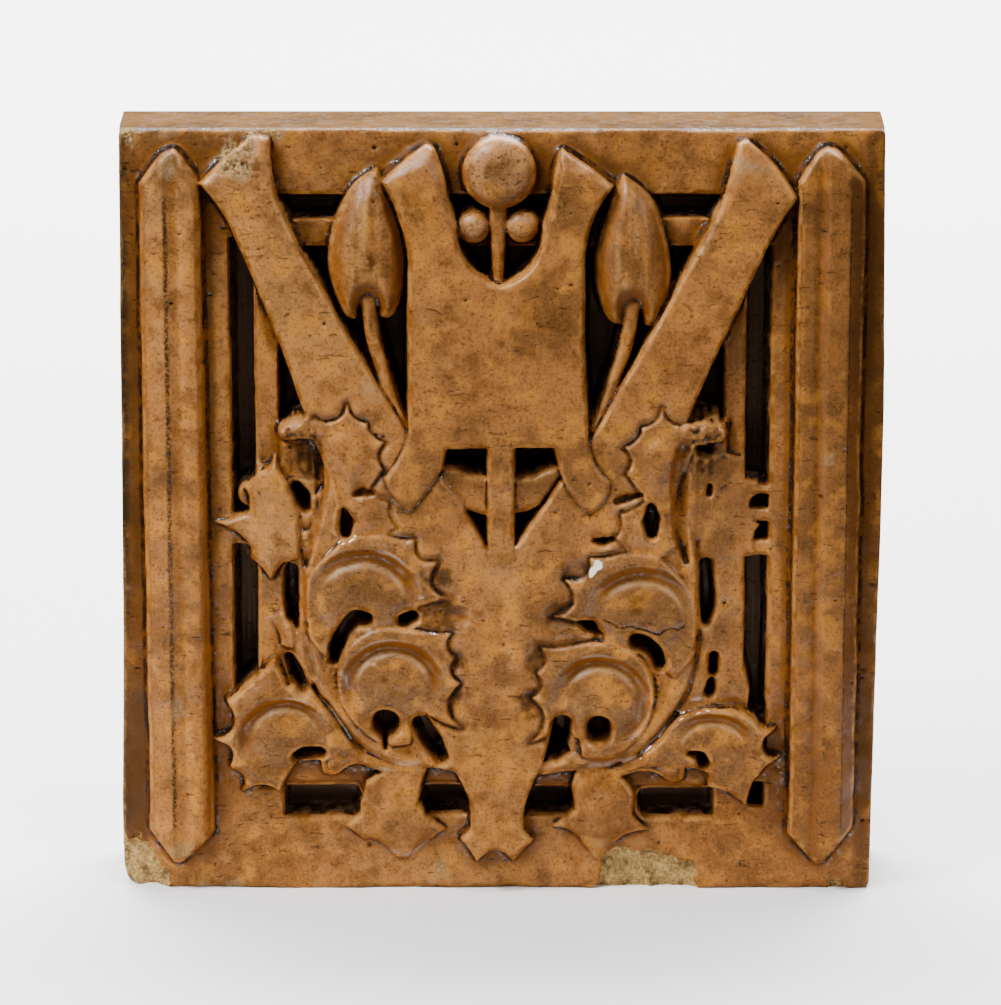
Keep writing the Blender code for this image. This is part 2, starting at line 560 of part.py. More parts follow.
def bar(name, side, group):
    """A moulded bar with hipped ends. side is -1 for the left bar and 1 for the right."""
    outer = GRID_WIDTH / 2 - BAR_MARGIN
    # Share of the width in from the outer edge, and height: the left bar's arris is sharper.
    left = ((0.0, -ROOT), (0.0, 5.4), (0.05, 6.6), (0.40, RELIEF + 0.3), (0.46, 7.9), (0.60, 6.8),
            (0.68, 7.7), (0.92, 7.6), (1.0, 5.0), (1.0, -ROOT))
    right = ((0.0, -ROOT), (0.0, 3.6), (0.27, RELIEF), (0.56, RELIEF), (0.63, 6.9), (0.70, 7.5),
             (0.92, 7.4), (1.0, 5.6), (1.0, -ROOT))
    profile = left if side < 0 else right
    low = BAR_END_GAP + 5.0
    high = GRID_HEIGHT - BAR_END_GAP
    points = []
    for z, swell in ((low, 1.1), (high, 0.98)):
        points += [on_face(side * (outer - share * BAR_WIDTH * swell), height, z) for share, height in profile]
    count = len(profile)
    faces = [tuple(range(count)), tuple(range(count, 2 * count))]
    faces += [(k, (k + 1) % count, count + (k + 1) % count, count + k) for k in range(count)]
    body = object_from(name, points, faces, group)
    work = bmesh.new()
    work.from_mesh(body.data)
    middle = outer - BAR_WIDTH * 0.52
    lean = 0.42  # how much an end face slopes back
    for end_z, sign in ((low, -1), (high, 1)):
        for reach in (-1, 1):
            rise = BAR_PEAK / (BAR_WIDTH * 0.52)
            normal = Vector((side * reach * rise, -lean * rise * 1.6, sign)).normalized()
            peak = on_face(side * middle, 0.0, end_z)
            bmesh.ops.bisect_plane(work, geom=work.verts[:] + work.edges[:] + work.faces[:], plane_co=peak,
                                   plane_no=normal, clear_outer=True)
            rim = [edge for edge in work.edges if edge.is_boundary]
            bmesh.ops.holes_fill(work, edges=rim)
    bmesh.ops.recalc_face_normals(work, faces=work.faces)
    work.to_mesh(body.data)
    work.free()
    return body


def hipped(name, outline, slopes, height, group, cutter_groups):
    """A plateau whose ends are planed down by its slopes."""
    body = plateau(name, outline, height, group)
    cutters = helper_collection(name + "_slopes")
    for number, (a, b, low, sink) in enumerate(slopes):
        slope_cutter(f"{name}_slope_{number}", a, b, low, sink, height, cutters)
    join_by(body, "planed_ends", "DIFFERENCE", cutters)
    cutter_groups.append(cutters)
    return body


def strapwork(group, cutter_groups):
    hipped("lyre", LYRE, LYRE_SLOPES, RELIEF, group, cutter_groups)
    hipped("panel", PANEL, PANEL_SLOPES, RELIEF + PANEL_RISE, group, cutter_groups)
    plateau("post", POST, RELIEF - 0.5, group)
    plateau("swag", SWAG, RELIEF - 5.0, group)


def flowers(group):
    for number, (outline, crown, path) in enumerate(TULIPS):
        tulip(f"tulip_{number}", outline, crown, group)
        stem(f"tulip_stem_{number}", path, TULIP_STEM_WIDTHS, RELIEF - 2.6, group, crown=1.4, steps=1)
    for number, (x, z, radius, crown) in enumerate(BERRIES):
        ball(f"berry_{number}", x, z, radius, radius, crown, -RECESS_DEPTH - ROOT, group)
    stem("berry_stem", BERRY_STEM, BERRY_STEM_WIDTHS, RELIEF - 4.0, group, crown=1.8, steps=1)


def foliage(group):
    """Both halves of the leaf scrolls."""
    for name, outline, centre, half, drop, shift in DOMED_LEAVES:
        domed_leaf("left_" + name, outline, centre, half, drop, group)
        turned = (-centre[0] + shift[0], centre[1] + shift[1])
        domed_leaf("right_" + name, mirrored(outline, shift), turned, half, drop, group)
    for name, outline, crown, drop, shift in FLAT_LEAVES:
        flat_leaf("left_" + name, outline, crown, drop, group)
        turned = (-crown[0] + shift[0], crown[1] + shift[1])
        flat_leaf("right_" + name, mirrored(outline, shift), turned, drop, group)
    height = RELIEF - STEM_SINK
    stem("left_scroll", SCROLL, SCROLL_WIDTHS, height, group)
    stem("right_scroll", mirrored_path(SCROLL, (0.0, -1.5)), SCROLL_WIDTHS, height, group)
    stem("left_lower_stem", LOWER_STEM, LOWER_STEM_WIDTHS, height, group)
    stem("right_lower_stem", mirrored_path(LOWER_STEM, (0.0, -2.0)), LOWER_STEM_WIDTHS, height, group)
    x, z, half_x, half_z = BUD
    ball("left_bud", x, z, half_x, half_z, RELIEF + 0.6, -RECESS_DEPTH - ROOT, group, around=12)
    ball("right_bud", -x + BUD_SHIFT[0], z + BUD_SHIFT[1], half_x + 1.0, half_z + 0.8, RELIEF + 0.6,
         -RECESS_DEPTH - ROOT, group, around=12)
    plateau("left_scoop", SCOOP, RELIEF - HOLLOW_SINK, group)
    plateau("right_scoop", mirrored(SCOOP, BUD_SHIFT), RELIEF - HOLLOW_SINK, group)


def eyes(group):
    for number, (path, width, shift) in enumerate(EYES):
        eye_cutter(f"left_eye_{number}", path, width, group)
        if number:
            eye_cutter(f"right_eye_{number}", mirrored_path(path, shift), width, group)
    eye_cutter("right_eye_0", *RIGHT_EYE, group)


def broken(name, place, half, tilt, group):
    """A rough lump of air where the edge of the block has spalled."""
    x, z, height = place
    work = bmesh.new()
    bmesh.ops.create_icosphere(work, subdivisions=2, radius=1.0)
    turn = math.radians(tilt)
    for number, vertex in enumerate(work.verts):
        rough = 1 + 0.10 * math.sin(number * 2.4) * math.cos(number * 1.7)
        px, py, pz = vertex.co * rough
        across, up = px * half[0], pz * half[2]
        vertex.co = on_face(x + across * math.cos(turn) - up * math.sin(turn), height - py * half[1],
                            z + across * math.sin(turn) + up * math.cos(turn))
    bmesh.ops.recalc_face_normals(work, faces=work.faces)
    mesh = bpy.data.meshes.new(name)
    work.to_mesh(mesh)
    work.free()
    group.objects.link(bpy.data.objects.new(name, mesh))


def breaks(group):
    for number, (place, half, tilt) in enumerate((CORNER_BREAK, EDGE_BREAK, TOE_BREAK)):
        broken(f"break_{number}", place, half, tilt, group)


def main():
    clear_scene()
    block = block_body()
    block.data.materials.append(material())
    steps = (
        ("pierced_lattice", "DIFFERENCE", (lattice,)),
        ("raised_work", "UNION", (lambda group: bar("left_bar", -1, group),
                                  lambda group: bar("right_bar", 1, group), flowers, foliage)),
        ("pierced_leaves", "DIFFERENCE", (eyes,)),
        ("broken_edges", "DIFFERENCE", (breaks,)),
    )
    cutter_groups = []
    for name, operation, makers in steps:
        group = helper_collection(name)
        for make in makers:
            make(group)
        if name == "raised_work":
            strapwork(group, cutter_groups)
        cutter_groups.append(group)
        join_by(block, name, operation, group)
    for group in cutter_groups:
        hide_helpers(group)


main()
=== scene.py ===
# %% [markdown]
# # A glazed terracotta ornament block
# The real block was pressed from one lump of clay in a plaster mould, trimmed by hand, glazed amber
# and fired. It stands on its bed face. This lesson loads the plain solid from the CAD frame, makes the
# carved and weathered block that takes its place, glazes it, and lights it like the photograph.

import math

import bpy
import numpy as np
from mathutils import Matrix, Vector


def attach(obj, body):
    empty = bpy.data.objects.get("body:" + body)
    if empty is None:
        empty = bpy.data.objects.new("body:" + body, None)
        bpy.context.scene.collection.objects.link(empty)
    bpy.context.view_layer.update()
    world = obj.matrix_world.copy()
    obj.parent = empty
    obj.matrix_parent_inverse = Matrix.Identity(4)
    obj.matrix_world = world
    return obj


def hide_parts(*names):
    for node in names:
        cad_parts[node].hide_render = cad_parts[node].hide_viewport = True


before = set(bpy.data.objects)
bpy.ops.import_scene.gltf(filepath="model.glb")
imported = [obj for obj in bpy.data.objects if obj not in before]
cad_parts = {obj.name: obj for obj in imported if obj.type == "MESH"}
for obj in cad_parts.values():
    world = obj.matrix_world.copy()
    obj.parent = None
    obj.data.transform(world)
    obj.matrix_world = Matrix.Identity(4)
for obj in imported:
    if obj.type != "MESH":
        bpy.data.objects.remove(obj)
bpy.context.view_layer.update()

# %% [markdown]
# ## The sheet that the carving is pressed into
# A pressed block leaves its mould straight forwards, so nothing on its face is undercut. That makes
# a height for each place on the face enough to hold all the carving. The other way would be some
# eighty separate bodies joined by Booleans, whose seams stay hard where real clay runs together.
# So the face is one sheet of numbers, a height in millimetres over the flat field for each half
# millimetre of the face. x runs to the right of the centre line and z up from the bed.

# %% The face grid
MM = 0.001
FACE_WIDTH, FACE_HEIGHT, BODY_DEPTH = 305.0, 314.0, 54.0
RELIEF, LEAF_RISE, PANEL_RISE = 9.0, 1.9, 1.6
TALLEST = RELIEF + LEAF_RISE
FIELD_Y = (TALLEST - BODY_DEPTH) / 2
STEP = 0.5

# How far each side of the face stands off the nominal width, from the bed up: (share of height, mm).
LEFT_SIDE = ((0.0, 2.9), (0.12, 2.7), (0.35, 1.0), (0.63, 0.1), (1.0, -1.0))
RIGHT_SIDE = ((0.0, -1.1), (0.16, -0.7), (0.48, 0.7), (0.64, 1.2), (1.0, -0.5))
SHIFT_X = (max(out for _, out in LEFT_SIDE) - max(out for _, out in RIGHT_SIDE)) / 2

COLUMNS = int(FACE_WIDTH / STEP) + 1
ROWS = int(FACE_HEIGHT / STEP) + 1
rows = np.linspace(0.0, FACE_HEIGHT, ROWS)
across = np.linspace(-1.0, 1.0, COLUMNS)


def half_width(side):
    shares, outs = zip(*side)
    return FACE_WIDTH / 2 + np.interp(rows / FACE_HEIGHT, shares, outs)


left_half, right_half = half_width(LEFT_SIDE)[:, None], half_width(RIGHT_SIDE)[:, None]
X = np.where(across < 0, across * left_half, across * right_half)
Z = np.repeat(rows[:, None], COLUMNS, axis=1)
face = np.zeros_like(X)
print("face grid:", face.shape)


# %% [markdown]
# ## Soft and wavy fields
# Clay is soft, so two tools are used all through this lesson: a blur, which rounds the sheet, and
# random waves, which are blurred noise. Each wave has its own seed, so it comes out the same each time.

# %% Blur and waves
def blur(field, millimetres):
    """The sheet seen through a soft lens this wide."""
    sigma = millimetres / STEP
    reach = int(3 * sigma) + 1
    taps = np.exp(-0.5 * (np.arange(-reach, reach + 1) / sigma) ** 2)
    taps /= taps.sum()
    for axis in (0, 1):
        padded = np.pad(field, [(reach, reach) if a == axis else (0, 0) for a in (0, 1)], mode="edge")
        total = np.zeros_like(field)
        for k, tap in enumerate(taps):
            part = slice(k, k + field.shape[axis])
            total += tap * (padded[part] if axis == 0 else padded[:, part])
        field = total
    return field


def waves(millimetres, seed):
    """Smooth random waves of about unit height, never higher than two."""
    field = blur(np.random.default_rng(seed).standard_normal(face.shape), millimetres)
    return np.clip(field / field.std(), -2, 2)


swell = waves(8.0, 1)
print("waves reach from", swell.min().round(2), "to", swell.max().round(2))

# %% [markdown]
# ## Edges cut by hand
# The mould was cut by hand, so no edge is quite straight. Moving every point of every outline would
# do it. It is simpler to read the outlines through coordinates that are slightly wavy themselves.

# %% Wavy coordinates
WOBBLE, FINE_WOBBLE = 0.15, 0.07
true_x, true_z = X, Z
X = X + WOBBLE * waves(7.0, 31) + FINE_WOBBLE * waves(2.0, 33)
Z = Z + WOBBLE * waves(7.0, 32) + FINE_WOBBLE * waves(2.0, 34)
print("wobble of the outlines:", WOBBLE, "mm")


# %% [markdown]
# ## Outlines and the distance in from them
# Every leaf and strap starts as an outline of (x, z, bow) points, counter-clockwise from the front.
# The bow swells the stretch after a point outwards, and a negative bow cuts the scallop between two
# teeth. The distance in from the outline then gives the wall, the rounded arris and the top.

# %% Outlines
def sampled(outline, spacing=1.2):
    """The outline as plain (x, z) points, with each bowed stretch cut into short ones."""
    ring = []
    for (x0, z0, bow), (x1, z1, _) in zip(outline, outline[1:] + outline[:1]):
        run_x, run_z = x1 - x0, z1 - z0
        length = math.hypot(run_x, run_z)
        steps = max(1, int(length / spacing)) if bow else 1
        for step in range(steps):
            t = step / steps
            swell = bow * 4 * t * (1 - t) / length
            ring.append((x0 + run_x * t + run_z * swell, z0 + run_z * t - run_x * swell))
    return ring


def window(points, margin=5.0):
    """The part of the sheet round some points."""
    xs, zs = [p[0] for p in points], [p[1] for p in points]
    low, high = np.searchsorted(rows, (min(zs) - margin, max(zs) + margin))
    reach = across * FACE_WIDTH / 2
    left, right = np.searchsorted(reach, (min(xs) - margin - 3, max(xs) + margin + 3))
    return slice(max(low - 1, 0), high + 1), slice(max(left - 1, 0), right + 1)


def inside(ring, x, z):
    """Distance in from a ring, negative outside it."""
    near = np.full(x.shape, 1e9)
    odd = np.zeros(x.shape, bool)
    for (ax, az), (bx, bz) in zip(ring, ring[1:] + ring[:1]):
        ex, ez = bx - ax, bz - az
        t = np.clip(((x - ax) * ex + (z - az) * ez) / max(ex * ex + ez * ez, 1e-9), 0, 1)
        near = np.minimum(near, (x - ax - t * ex) ** 2 + (z - az - t * ez) ** 2)
        if az != bz:
            odd ^= ((az > z) != (bz > z)) & (x < ax + (z - az) * ex / ez)
    near = np.sqrt(near)
    return np.where(odd, near, -near)


SCALLOPED = ((0.0, 0.0, -3.0), (30.0, 0.0, 2.0), (30.0, 30.0, 0.0))
print("an outline of 3 corners is drawn with", len(sampled(SCALLOPED)), "points")


# %% Laying and cutting
def eased(value, low, high):
    """0 below low, 1 above high, and a smooth climb between."""
    t = np.clip((value - low) / (high - low), 0, 1)
    return t * t * (3 - 2 * t)


def soft_max(a, b, blend):
    """The higher of two heights, with a fillet where they cross."""
    near = np.maximum(blend - np.abs(a - b), 0) / blend
    return np.maximum(a, b) + near * near * blend / 4


WALL = 15.0  # a wall falls this much for each millimetre that it leans out


def plateau(d, top, arris):
    """A flat top with a rounded arris and a leaning wall, from the distance in."""
    t = np.clip(d / arris, 0, 1)
    crown = top - arris + arris * np.sqrt(1 - (1 - t) ** 2)
    return np.where(d > 0, crown, top - arris + d * WALL)


def lay(where, height, blend=0.6):
    """Put clay on a part of the sheet, with a fillet."""
    face[where] = soft_max(face[where], height, blend)


def cut(where, height, blend=0.6):
    """Take clay away down to a height, with a fillet."""
    face[where] = -soft_max(-face[where], -height, blend)


print("two level heights meet in a fillet that stands", soft_max(0.0, 0.0, 0.6), "mm over them")


# %% [markdown]
# ## The field, the lattice and the pierced ground
# Behind the carving lies a flat field, a lattice of narrow bands, and the ground cut some 22 mm
# deep between them. A deep pocket of a pressed block has leaning walls and a rounded floor, so each
# one is a box whose walls come from the distance in, like the rest.

# %% Recesses
BAND_SINK, RECESS_DEPTH = 1.6, 22.0
LEDGE = 0.42  # how steep the low slots' bottom walls are, as a share of the other walls


def box_ring(x0, x1, z0, z1):
    """The four corners of an upright rectangle."""
    return [(x0, z0), (x1, z0), (x1, z1), (x0, z1)]


def sink(ring, depth, corner=1.2, ledge=1.0):
    """Cut a recess. A ledge below 1 makes its lower wall lean more."""
    where = window(ring, 3.0)
    d = np.minimum(inside(ring, X[where], Z[where]), (Z[where] - min(z for _, z in ring)) * ledge)
    cut(where, -plateau(d - (depth - corner) / WALL, depth, corner), 0.5)


GROUND_HALF, BAND_OUT = 89.3, 98.8
sink(box_ring(-BAND_OUT, BAND_OUT, 42.8, 278.4), BAND_SINK, 1.0)
sink(box_ring(-GROUND_HALF, GROUND_HALF, 54.8, 266.9), RECESS_DEPTH)
RECESSES = (
    box_ring(-108.4, -98.8, 82.0, 271.0), box_ring(98.2, 107.9, 56.0, 268.0),
    box_ring(-88.7, 88.7, 278.4, 288.0), box_ring(100.6, 107.3, 35.2, 45.0),
)
LOW_SLOTS = (
    ((-88.5, 30.4), (-60.5, 30.4), (-56.8, 33.5), (-56.8, 39.5), (-59.0, 43.4), (-88.5, 43.4)),
    ((-33.5, 36.0), (-31.0, 31.6), (-8.0, 31.6), (-8.0, 43.3), (-32.0, 43.3)),
    ((58.5, 30.4), (86.8, 30.4), (86.8, 42.4), (57.0, 42.4), (55.5, 38.5), (55.8, 34.0)),
    ((6.0, 31.3), (27.0, 31.3), (29.6, 35.5), (29.0, 42.8), (6.0, 42.8)),
)
for ring in RECESSES:
    sink(ring, RECESS_DEPTH)
for ring in LOW_SLOTS:
    sink(list(ring), RECESS_DEPTH, ledge=LEDGE)
print("lowest ground:", round(float(face.min()), 2), "mm")

# %% [markdown]
# ## The moulded bars
# Each side of the face has a moulded bar with a pointed, hipped end, like a pencil cut by four
# planes. A profile swept between two mitre cuts would do it in solids. On the sheet it is the lower
# of two heights: the moulding across the bar, and the slope up from each end edge.

# %% The bars' shapes
# The mouldings are lists of (mm in from the bar's outer edge, height).
LEFT_MOULDING = ((0.0, 4.6), (0.8, 6.4), (3.0, 7.4), (7.0, 8.7), (9.6, 9.3), (10.3, 9.2), (11.0, 8.4),
                 (12.4, 7.8), (13.8, 7.3), (15.4, 7.1), (16.4, 7.5), (17.4, 8.1), (20.0, 8.4),
                 (22.6, 7.9), (24.0, 6.6), (25.2, 3.6))
RIGHT_MOULDING = ((0.0, 3.2), (0.8, 4.4), (3.5, 6.7), (6.2, 8.8), (7.2, 9.15), (11.0, 9.3), (14.6, 9.1),
                  (15.8, 8.3), (17.0, 7.0), (18.4, 6.3), (19.4, 6.8), (20.4, 7.4), (24.6, 7.7),
                  (25.4, 7.1), (26.2, 7.9), (26.8, 7.2), (27.4, 5.0))
LEFT_BAR = ((-143.8, 26.5, 0.0), (-134.0, 12.6, 0.3), (-130.6, 12.0, 0.3), (-117.4, 25.0, 0.0),
            (-119.0, 293.5, 0.5), (-124.5, 301.6, 0.9), (-129.5, 307.0, 0.9), (-136.2, 303.6, 0.3),
            (-143.6, 293.0, 0.0))
RIGHT_BAR = ((117.2, 25.0, 0.4), (128.6, 12.0, 0.3), (131.8, 12.2, 0.4), (144.4, 27.5, 0.0),
             (144.6, 293.5, 0.4), (135.6, 304.6, 0.9), (129.0, 308.2, 0.9), (124.0, 303.8, 0.4),
             (117.5, 294.0, 0.0))
print("the left moulding has", len(LEFT_MOULDING), "points, the right one", len(RIGHT_MOULDING))

# %% Bars
DRAWN_WIDTH, BAR_WIDTH = 25.3, 25.0  # the mouldings are drawn a little wider than the bar
HIP_FOOT, HIP_CLIMB = 5.2, 2.4  # a hip's height at the end edge, and its climb for each millimetre in
BAR_ARRIS = 0.9
SIDE_LENGTH = 100.0  # an edge of the outline longer than this is a side and has no hip


def lay_bar(outline, moulding, outer, side):
    """A moulded bar. outer is where its outer edge lies, and side is -1 or 1."""
    ring = sampled(outline)
    where = window(ring)
    x, z = X[where], Z[where]
    d = inside(ring, x, z)
    moulded = np.interp((outer - x * side) * DRAWN_WIDTH / BAR_WIDTH, *zip(*moulding))
    slope = np.full(x.shape, 1e3)
    count = len(outline)
    for k in range(count):
        (ax, az, _), (bx, bz, _) = outline[k], outline[(k + 1) % count]
        if abs(bz - az) > SIDE_LENGTH:
            continue
        length = math.hypot(bx - ax, bz - az)
        away = ((x - ax) * (az - bz) + (z - az) * (bx - ax)) / length
        slope = np.minimum(slope, HIP_FOOT + HIP_CLIMB * away)
    top = -soft_max(-moulded, -slope, 0.5)
    rounded = 1 - np.sqrt(1 - (1 - np.clip(d / BAR_ARRIS, 0, 1)) ** 2)
    height = np.where(d > 0, top - BAR_ARRIS * rounded, top - BAR_ARRIS + d * WALL)
    lay(where, height, 0.8)


lay_bar(LEFT_BAR, LEFT_MOULDING, 143.8, -1)
lay_bar(RIGHT_BAR, RIGHT_MOULDING, 144.6, 1)
print("bars laid, highest", round(float(face.max()), 2), "mm")

# %% [markdown]
# ## The strapwork
# A lyre of flat straps runs down into a pendant, and a waisted panel lies over it. Their upper ends
# are planed off in hips. Each hip is a plane that starts at a hinge line across the strap, so the
# strap's top is the lower of its flat and its planes.

# %% The lyre and the panel
# A hip is (hinge from, hinge to, its lowest point, how far that point is sunk).
LYRE = (
    (-98.5, 312.3, 0.6), (-119.3, 293.5, -1.5), (-105.0, 270.0, -1.0), (-80.0, 204.0, 0.0),
    (-27.5, 75.0, 0.0), (-20.3, 54.0, -0.5), (-12.8, 38.0, -0.3), (-12.4, 27.0, 0.0),
    (-16.5, 22.5, -0.5), (-10.0, 13.2, -5.0), (5.0, 13.2, -0.5), (12.8, 21.5, 0.0),
    (9.2, 27.0, -0.3), (9.6, 36.0, -0.5), (16.5, 54.0, 0.0), (23.5, 75.0, 0.0),
    (73.7, 195.0, -0.4), (105.0, 266.0, -0.7), (117.2, 287.5, 2.2), (97.0, 310.5, 0.5),
    (92.8, 308.5, -0.5), (87.5, 286.0, 0.0), (62.5, 237.5, 0.0), (35.6, 190.0, 0.0),
    (5.4, 146.0, 0.0), (-5.4, 144.0, 0.0), (-15.0, 163.0, 0.0), (-37.5, 193.0, 0.0),
    (-60.0, 230.0, 0.0), (-80.0, 268.0, 0.0), (-88.5, 287.0, -0.5), (-91.3, 311.0, 0.4),
)
LYRE_HIPS = (
    ((-121.0, 292.0), (-96.0, 299.5), (-98.5, 312.5), 5.0),
    ((-80.0, 267.0), (-98.2, 302.0), (-91.0, 308.0), 4.6),
    ((120.0, 286.0), (95.5, 298.0), (99.0, 311.5), 4.6),
    ((81.0, 267.0), (96.5, 301.0), (92.0, 308.0), 4.0),
)
PANEL = (
    (-30.0, 309.0, 0.6), (-47.0, 294.5, -2.0), (-37.0, 262.0, 0.2), (-37.0, 198.0, -2.5),
    (-47.0, 175.0, 1.8), (-36.5, 161.0, 0.4), (-23.4, 179.0, 0.0), (-21.6, 186.6, 0.0),
    (21.0, 186.6, 0.0), (23.2, 179.0, 1.5), (35.5, 159.5, 1.8), (44.0, 173.3, -2.0), (35.0, 190.0, 0.0),
    (32.8, 226.0, 0.0), (33.2, 264.0, -2.5), (44.4, 292.5, 0.5), (24.5, 307.0, 1.0),
    (20.5, 293.0, -0.6), (16.5, 277.0, -6.0), (-0.5, 253.0, -6.0), (-17.5, 277.0, -0.6),
    (-22.0, 294.0, 0.4), (-26.5, 307.5, 0.4),
)
PANEL_HIPS = (
    ((-48.5, 292.0), (-30.0, 301.5), (-36.0, 307.0), 4.6),
    ((-17.5, 268.0), (-30.0, 303.5), (-23.0, 300.0), 3.4),
    ((46.0, 290.5), (25.0, 300.0), (33.0, 303.5), 4.6),
    ((16.5, 268.0), (26.0, 303.0), (21.5, 297.0), 3.4),
)
POST = ((-5.6, 192.0, 0.0), (-5.4, 138.0, 0.0), (5.2, 138.0, 0.0), (5.2, 192.0, 0.0))
SWAG = (
    (-27.0, 179.5, 0.0), (-25.0, 171.0, 0.0), (-17.0, 163.4, 0.8), (-5.5, 158.4, 0.0), (5.5, 159.4, 0.8),
    (15.5, 162.6, 0.0), (20.5, 169.5, 0.0), (27.0, 179.0, 1.0), (14.0, 175.0, 0.5), (0.0, 173.0, 0.5),
    (-13.0, 175.5, 1.0),
)
print("lyre and panel drawn with", len(LYRE), "and", len(PANEL), "points")

# %% Straps
BED_DEPTH, BED_REACH = 2.2, 3.4
# The map beside marks where painted shade goes on the straps next to the leaves.
beside = np.zeros_like(face)  # how close a place lies to a piece above it, for the dirt


def bed(fields, depth=BED_DEPTH, reach=BED_REACH):
    """Slope the straps down beside pieces that will lie on them."""
    near = np.zeros_like(face)
    for where, d in fields:
        near[where] = np.maximum(near[where], 1 - eased(-d, 0.0, reach))
    near[face < RELIEF - 4] = 0
    face[:] -= depth * near
    beside[:] = np.maximum(beside, near * depth / BED_DEPTH)


def lay_strap(outline, height, hips=(), arris=1.7, blend=0.5):
    """A flat strap with a rounded arris and its ends planed off."""
    ring = sampled(outline)
    where = window(ring)
    x, z = X[where], Z[where]
    d = inside(ring, x, z)
    if height > RELIEF:
        bed([(where, d)], 1.0, 1.8)
    top = np.full(x.shape, height)
    for (ax, az), (bx, bz), (lx, lz), fall in hips:
        length = math.hypot(bx - ax, bz - az)
        nx, nz = (az - bz) / length, (bx - ax) / length
        far = (lx - ax) * nx + (lz - az) * nz
        away = ((x - ax) * nx + (z - az) * nz) * (1 if far > 0 else -1)
        share = ((x - ax) * (bx - ax) + (z - az) * (bz - az)) / length ** 2
        near = (share > -0.05) & (share < 1.5) & (away < 14)
        top = np.where(near, -soft_max(-top, -(height - fall * away / abs(far)), 0.8), top)
    t = np.clip(d / arris, 0, 1)
    shape = np.where(d > 0, top - arris * (1 - np.sqrt(1 - (1 - t) ** 2)), top - arris + d * WALL)
    lay(where, shape, blend)
    beside[where] = np.where(d > 0, 0, beside[where])


print("a bed beside a piece is", BED_DEPTH, "mm deep and", BED_REACH, "mm wide")


# %% Sloping pieces and the strapwork
def lay_web(outline, start, end, arris=1.2, blend=1.2):
    """A sloping piece. start and end are (x, z, height), and the height runs from one to the other."""
    ring = sampled(outline)
    where = window(ring)
    run_x, run_z = end[0] - start[0], end[1] - start[1]
    along_run = (X[where] - start[0]) * run_x + (Z[where] - start[1]) * run_z
    share = eased(along_run / (run_x * run_x + run_z * run_z), 0, 1)
    top = start[2] + (end[2] - start[2]) * share
    lay(where, plateau(inside(ring, X[where], Z[where]), top, arris), blend)


# The swag hangs lowest, the panel lies over the lyre, and the post climbs from one to the other.
lay_strap(SWAG, RELIEF - 2.2, arris=1.8)
lay_strap(LYRE, RELIEF, LYRE_HIPS)
lay_strap(PANEL, RELIEF + PANEL_RISE, PANEL_HIPS)
lay_web(POST, (0.0, 146.0, RELIEF - 0.2), (0.0, 184.0, RELIEF + PANEL_RISE))

# The pendant has a soft valley down its middle, which leans a little.
VALLEY_DEPTH, VALLEY_WIDTH = 1.5, 5.5
off_line = X + 0.8 + (Z - 80) * 0.01
valley = VALLEY_DEPTH * np.exp(-(off_line / VALLEY_WIDTH) ** 2) * eased(Z, 20, 34) * (1 - eased(Z, 118, 140))
face -= valley * (face > 5)
print("straps laid, highest", round(float(face.max()), 2), "mm")

# %% [markdown]
# ## Closed flowers
# Two closed flowers hang between the straps, each on a thin stem. They are swellings: the height
# climbs steeply from the outline and levels off, as a quarter of a circle does. Two faint lines show
# where the petals overlap.

# %% The flowers' shapes
LEFT_TULIP = (
    (-48.8, 299.4, 1.2), (-61.0, 290.0, 1.5), (-69.0, 263.5, 1.6), (-62.5, 240.0, 1.2),
    (-57.2, 238.6, -1.6), (-53.0, 247.0, -1.6), (-48.4, 239.4, 1.2), (-42.2, 240.5, 1.0),
    (-38.4, 259.0, 1.2), (-43.0, 284.0, 0.8),
)
RIGHT_TULIP = (
    (48.0, 296.5, 0.8), (41.5, 280.0, 1.0), (37.2, 258.0, 1.2), (42.2, 238.6, 0.9),
    (48.2, 236.4, -1.4), (52.6, 244.5, -1.4), (57.2, 235.6, 0.9), (62.6, 237.0, 1.2),
    (67.7, 256.0, 1.4), (60.5, 286.0, 1.0),
)
TULIPS = (
    (LEFT_TULIP, ((-52.6, 246.0), (-50.8, 229.0), (-44.5, 209.0), (-37.0, 193.0)), (-52.8, 243.5)),
    (RIGHT_TULIP, ((52.3, 244.0), (50.2, 229.0), (44.0, 210.0), (35.8, 191.0)), (52.5, 241.5)),
)


print("flowers drawn with", len(LEFT_TULIP), "and", len(RIGHT_TULIP), "points")


# %% Stems along a curve
def through(points, steps=8):
    """A smooth curve through some points: each spot on it, and how many points lie before it."""
    path = [Vector(p) for p in points]
    path = [path[0] * 2 - path[1]] + path + [path[-1] * 2 - path[-2]]
    run = []
    for k in range(len(points) - 1):
        a, b, c, d = path[k:k + 4]
        for step in range(steps):
            t = step / steps
            run.append(((b * 2 + (c - a) * t + (a * 2 - b * 5 + c * 4 - d) * t * t
                         + (b * 3 - a - c * 3 + d) * t ** 3) / 2, k + t))
    run.append((path[-2], len(points) - 1.0))
    return run


def along(points, widths, margin=6.0):
    """The sheet round a path: the window, how far off the path, its half width, how far along."""
    run = through(points)
    where = window([p for p, _ in run], margin + max(widths) / 2)
    x, z = X[where], Z[where]
    near = np.full(x.shape, 1e9)
    off, place = np.zeros(x.shape), np.zeros(x.shape)
    for (a, sa), (b, sb) in zip(run, run[1:]):
        e = b - a
        free = ((x - a.x) * e.x + (z - a.y) * e.y) / e.length_squared
        t = np.clip(free, 0, 1)
        dx, dz = x - a.x - t * e.x, z - a.y - t * e.y
        distance = np.hypot(dx, dz)
        closer = distance < near
        near = np.where(closer, distance, near)
        side = np.sign(dx * e.y - dz * e.x)
        off = np.where(closer, distance * side, off)
        place = np.where(closer, sa + (sb - sa) * t, place)
    half = np.interp(place, range(len(widths)), widths) / 2
    return where, off, half, place


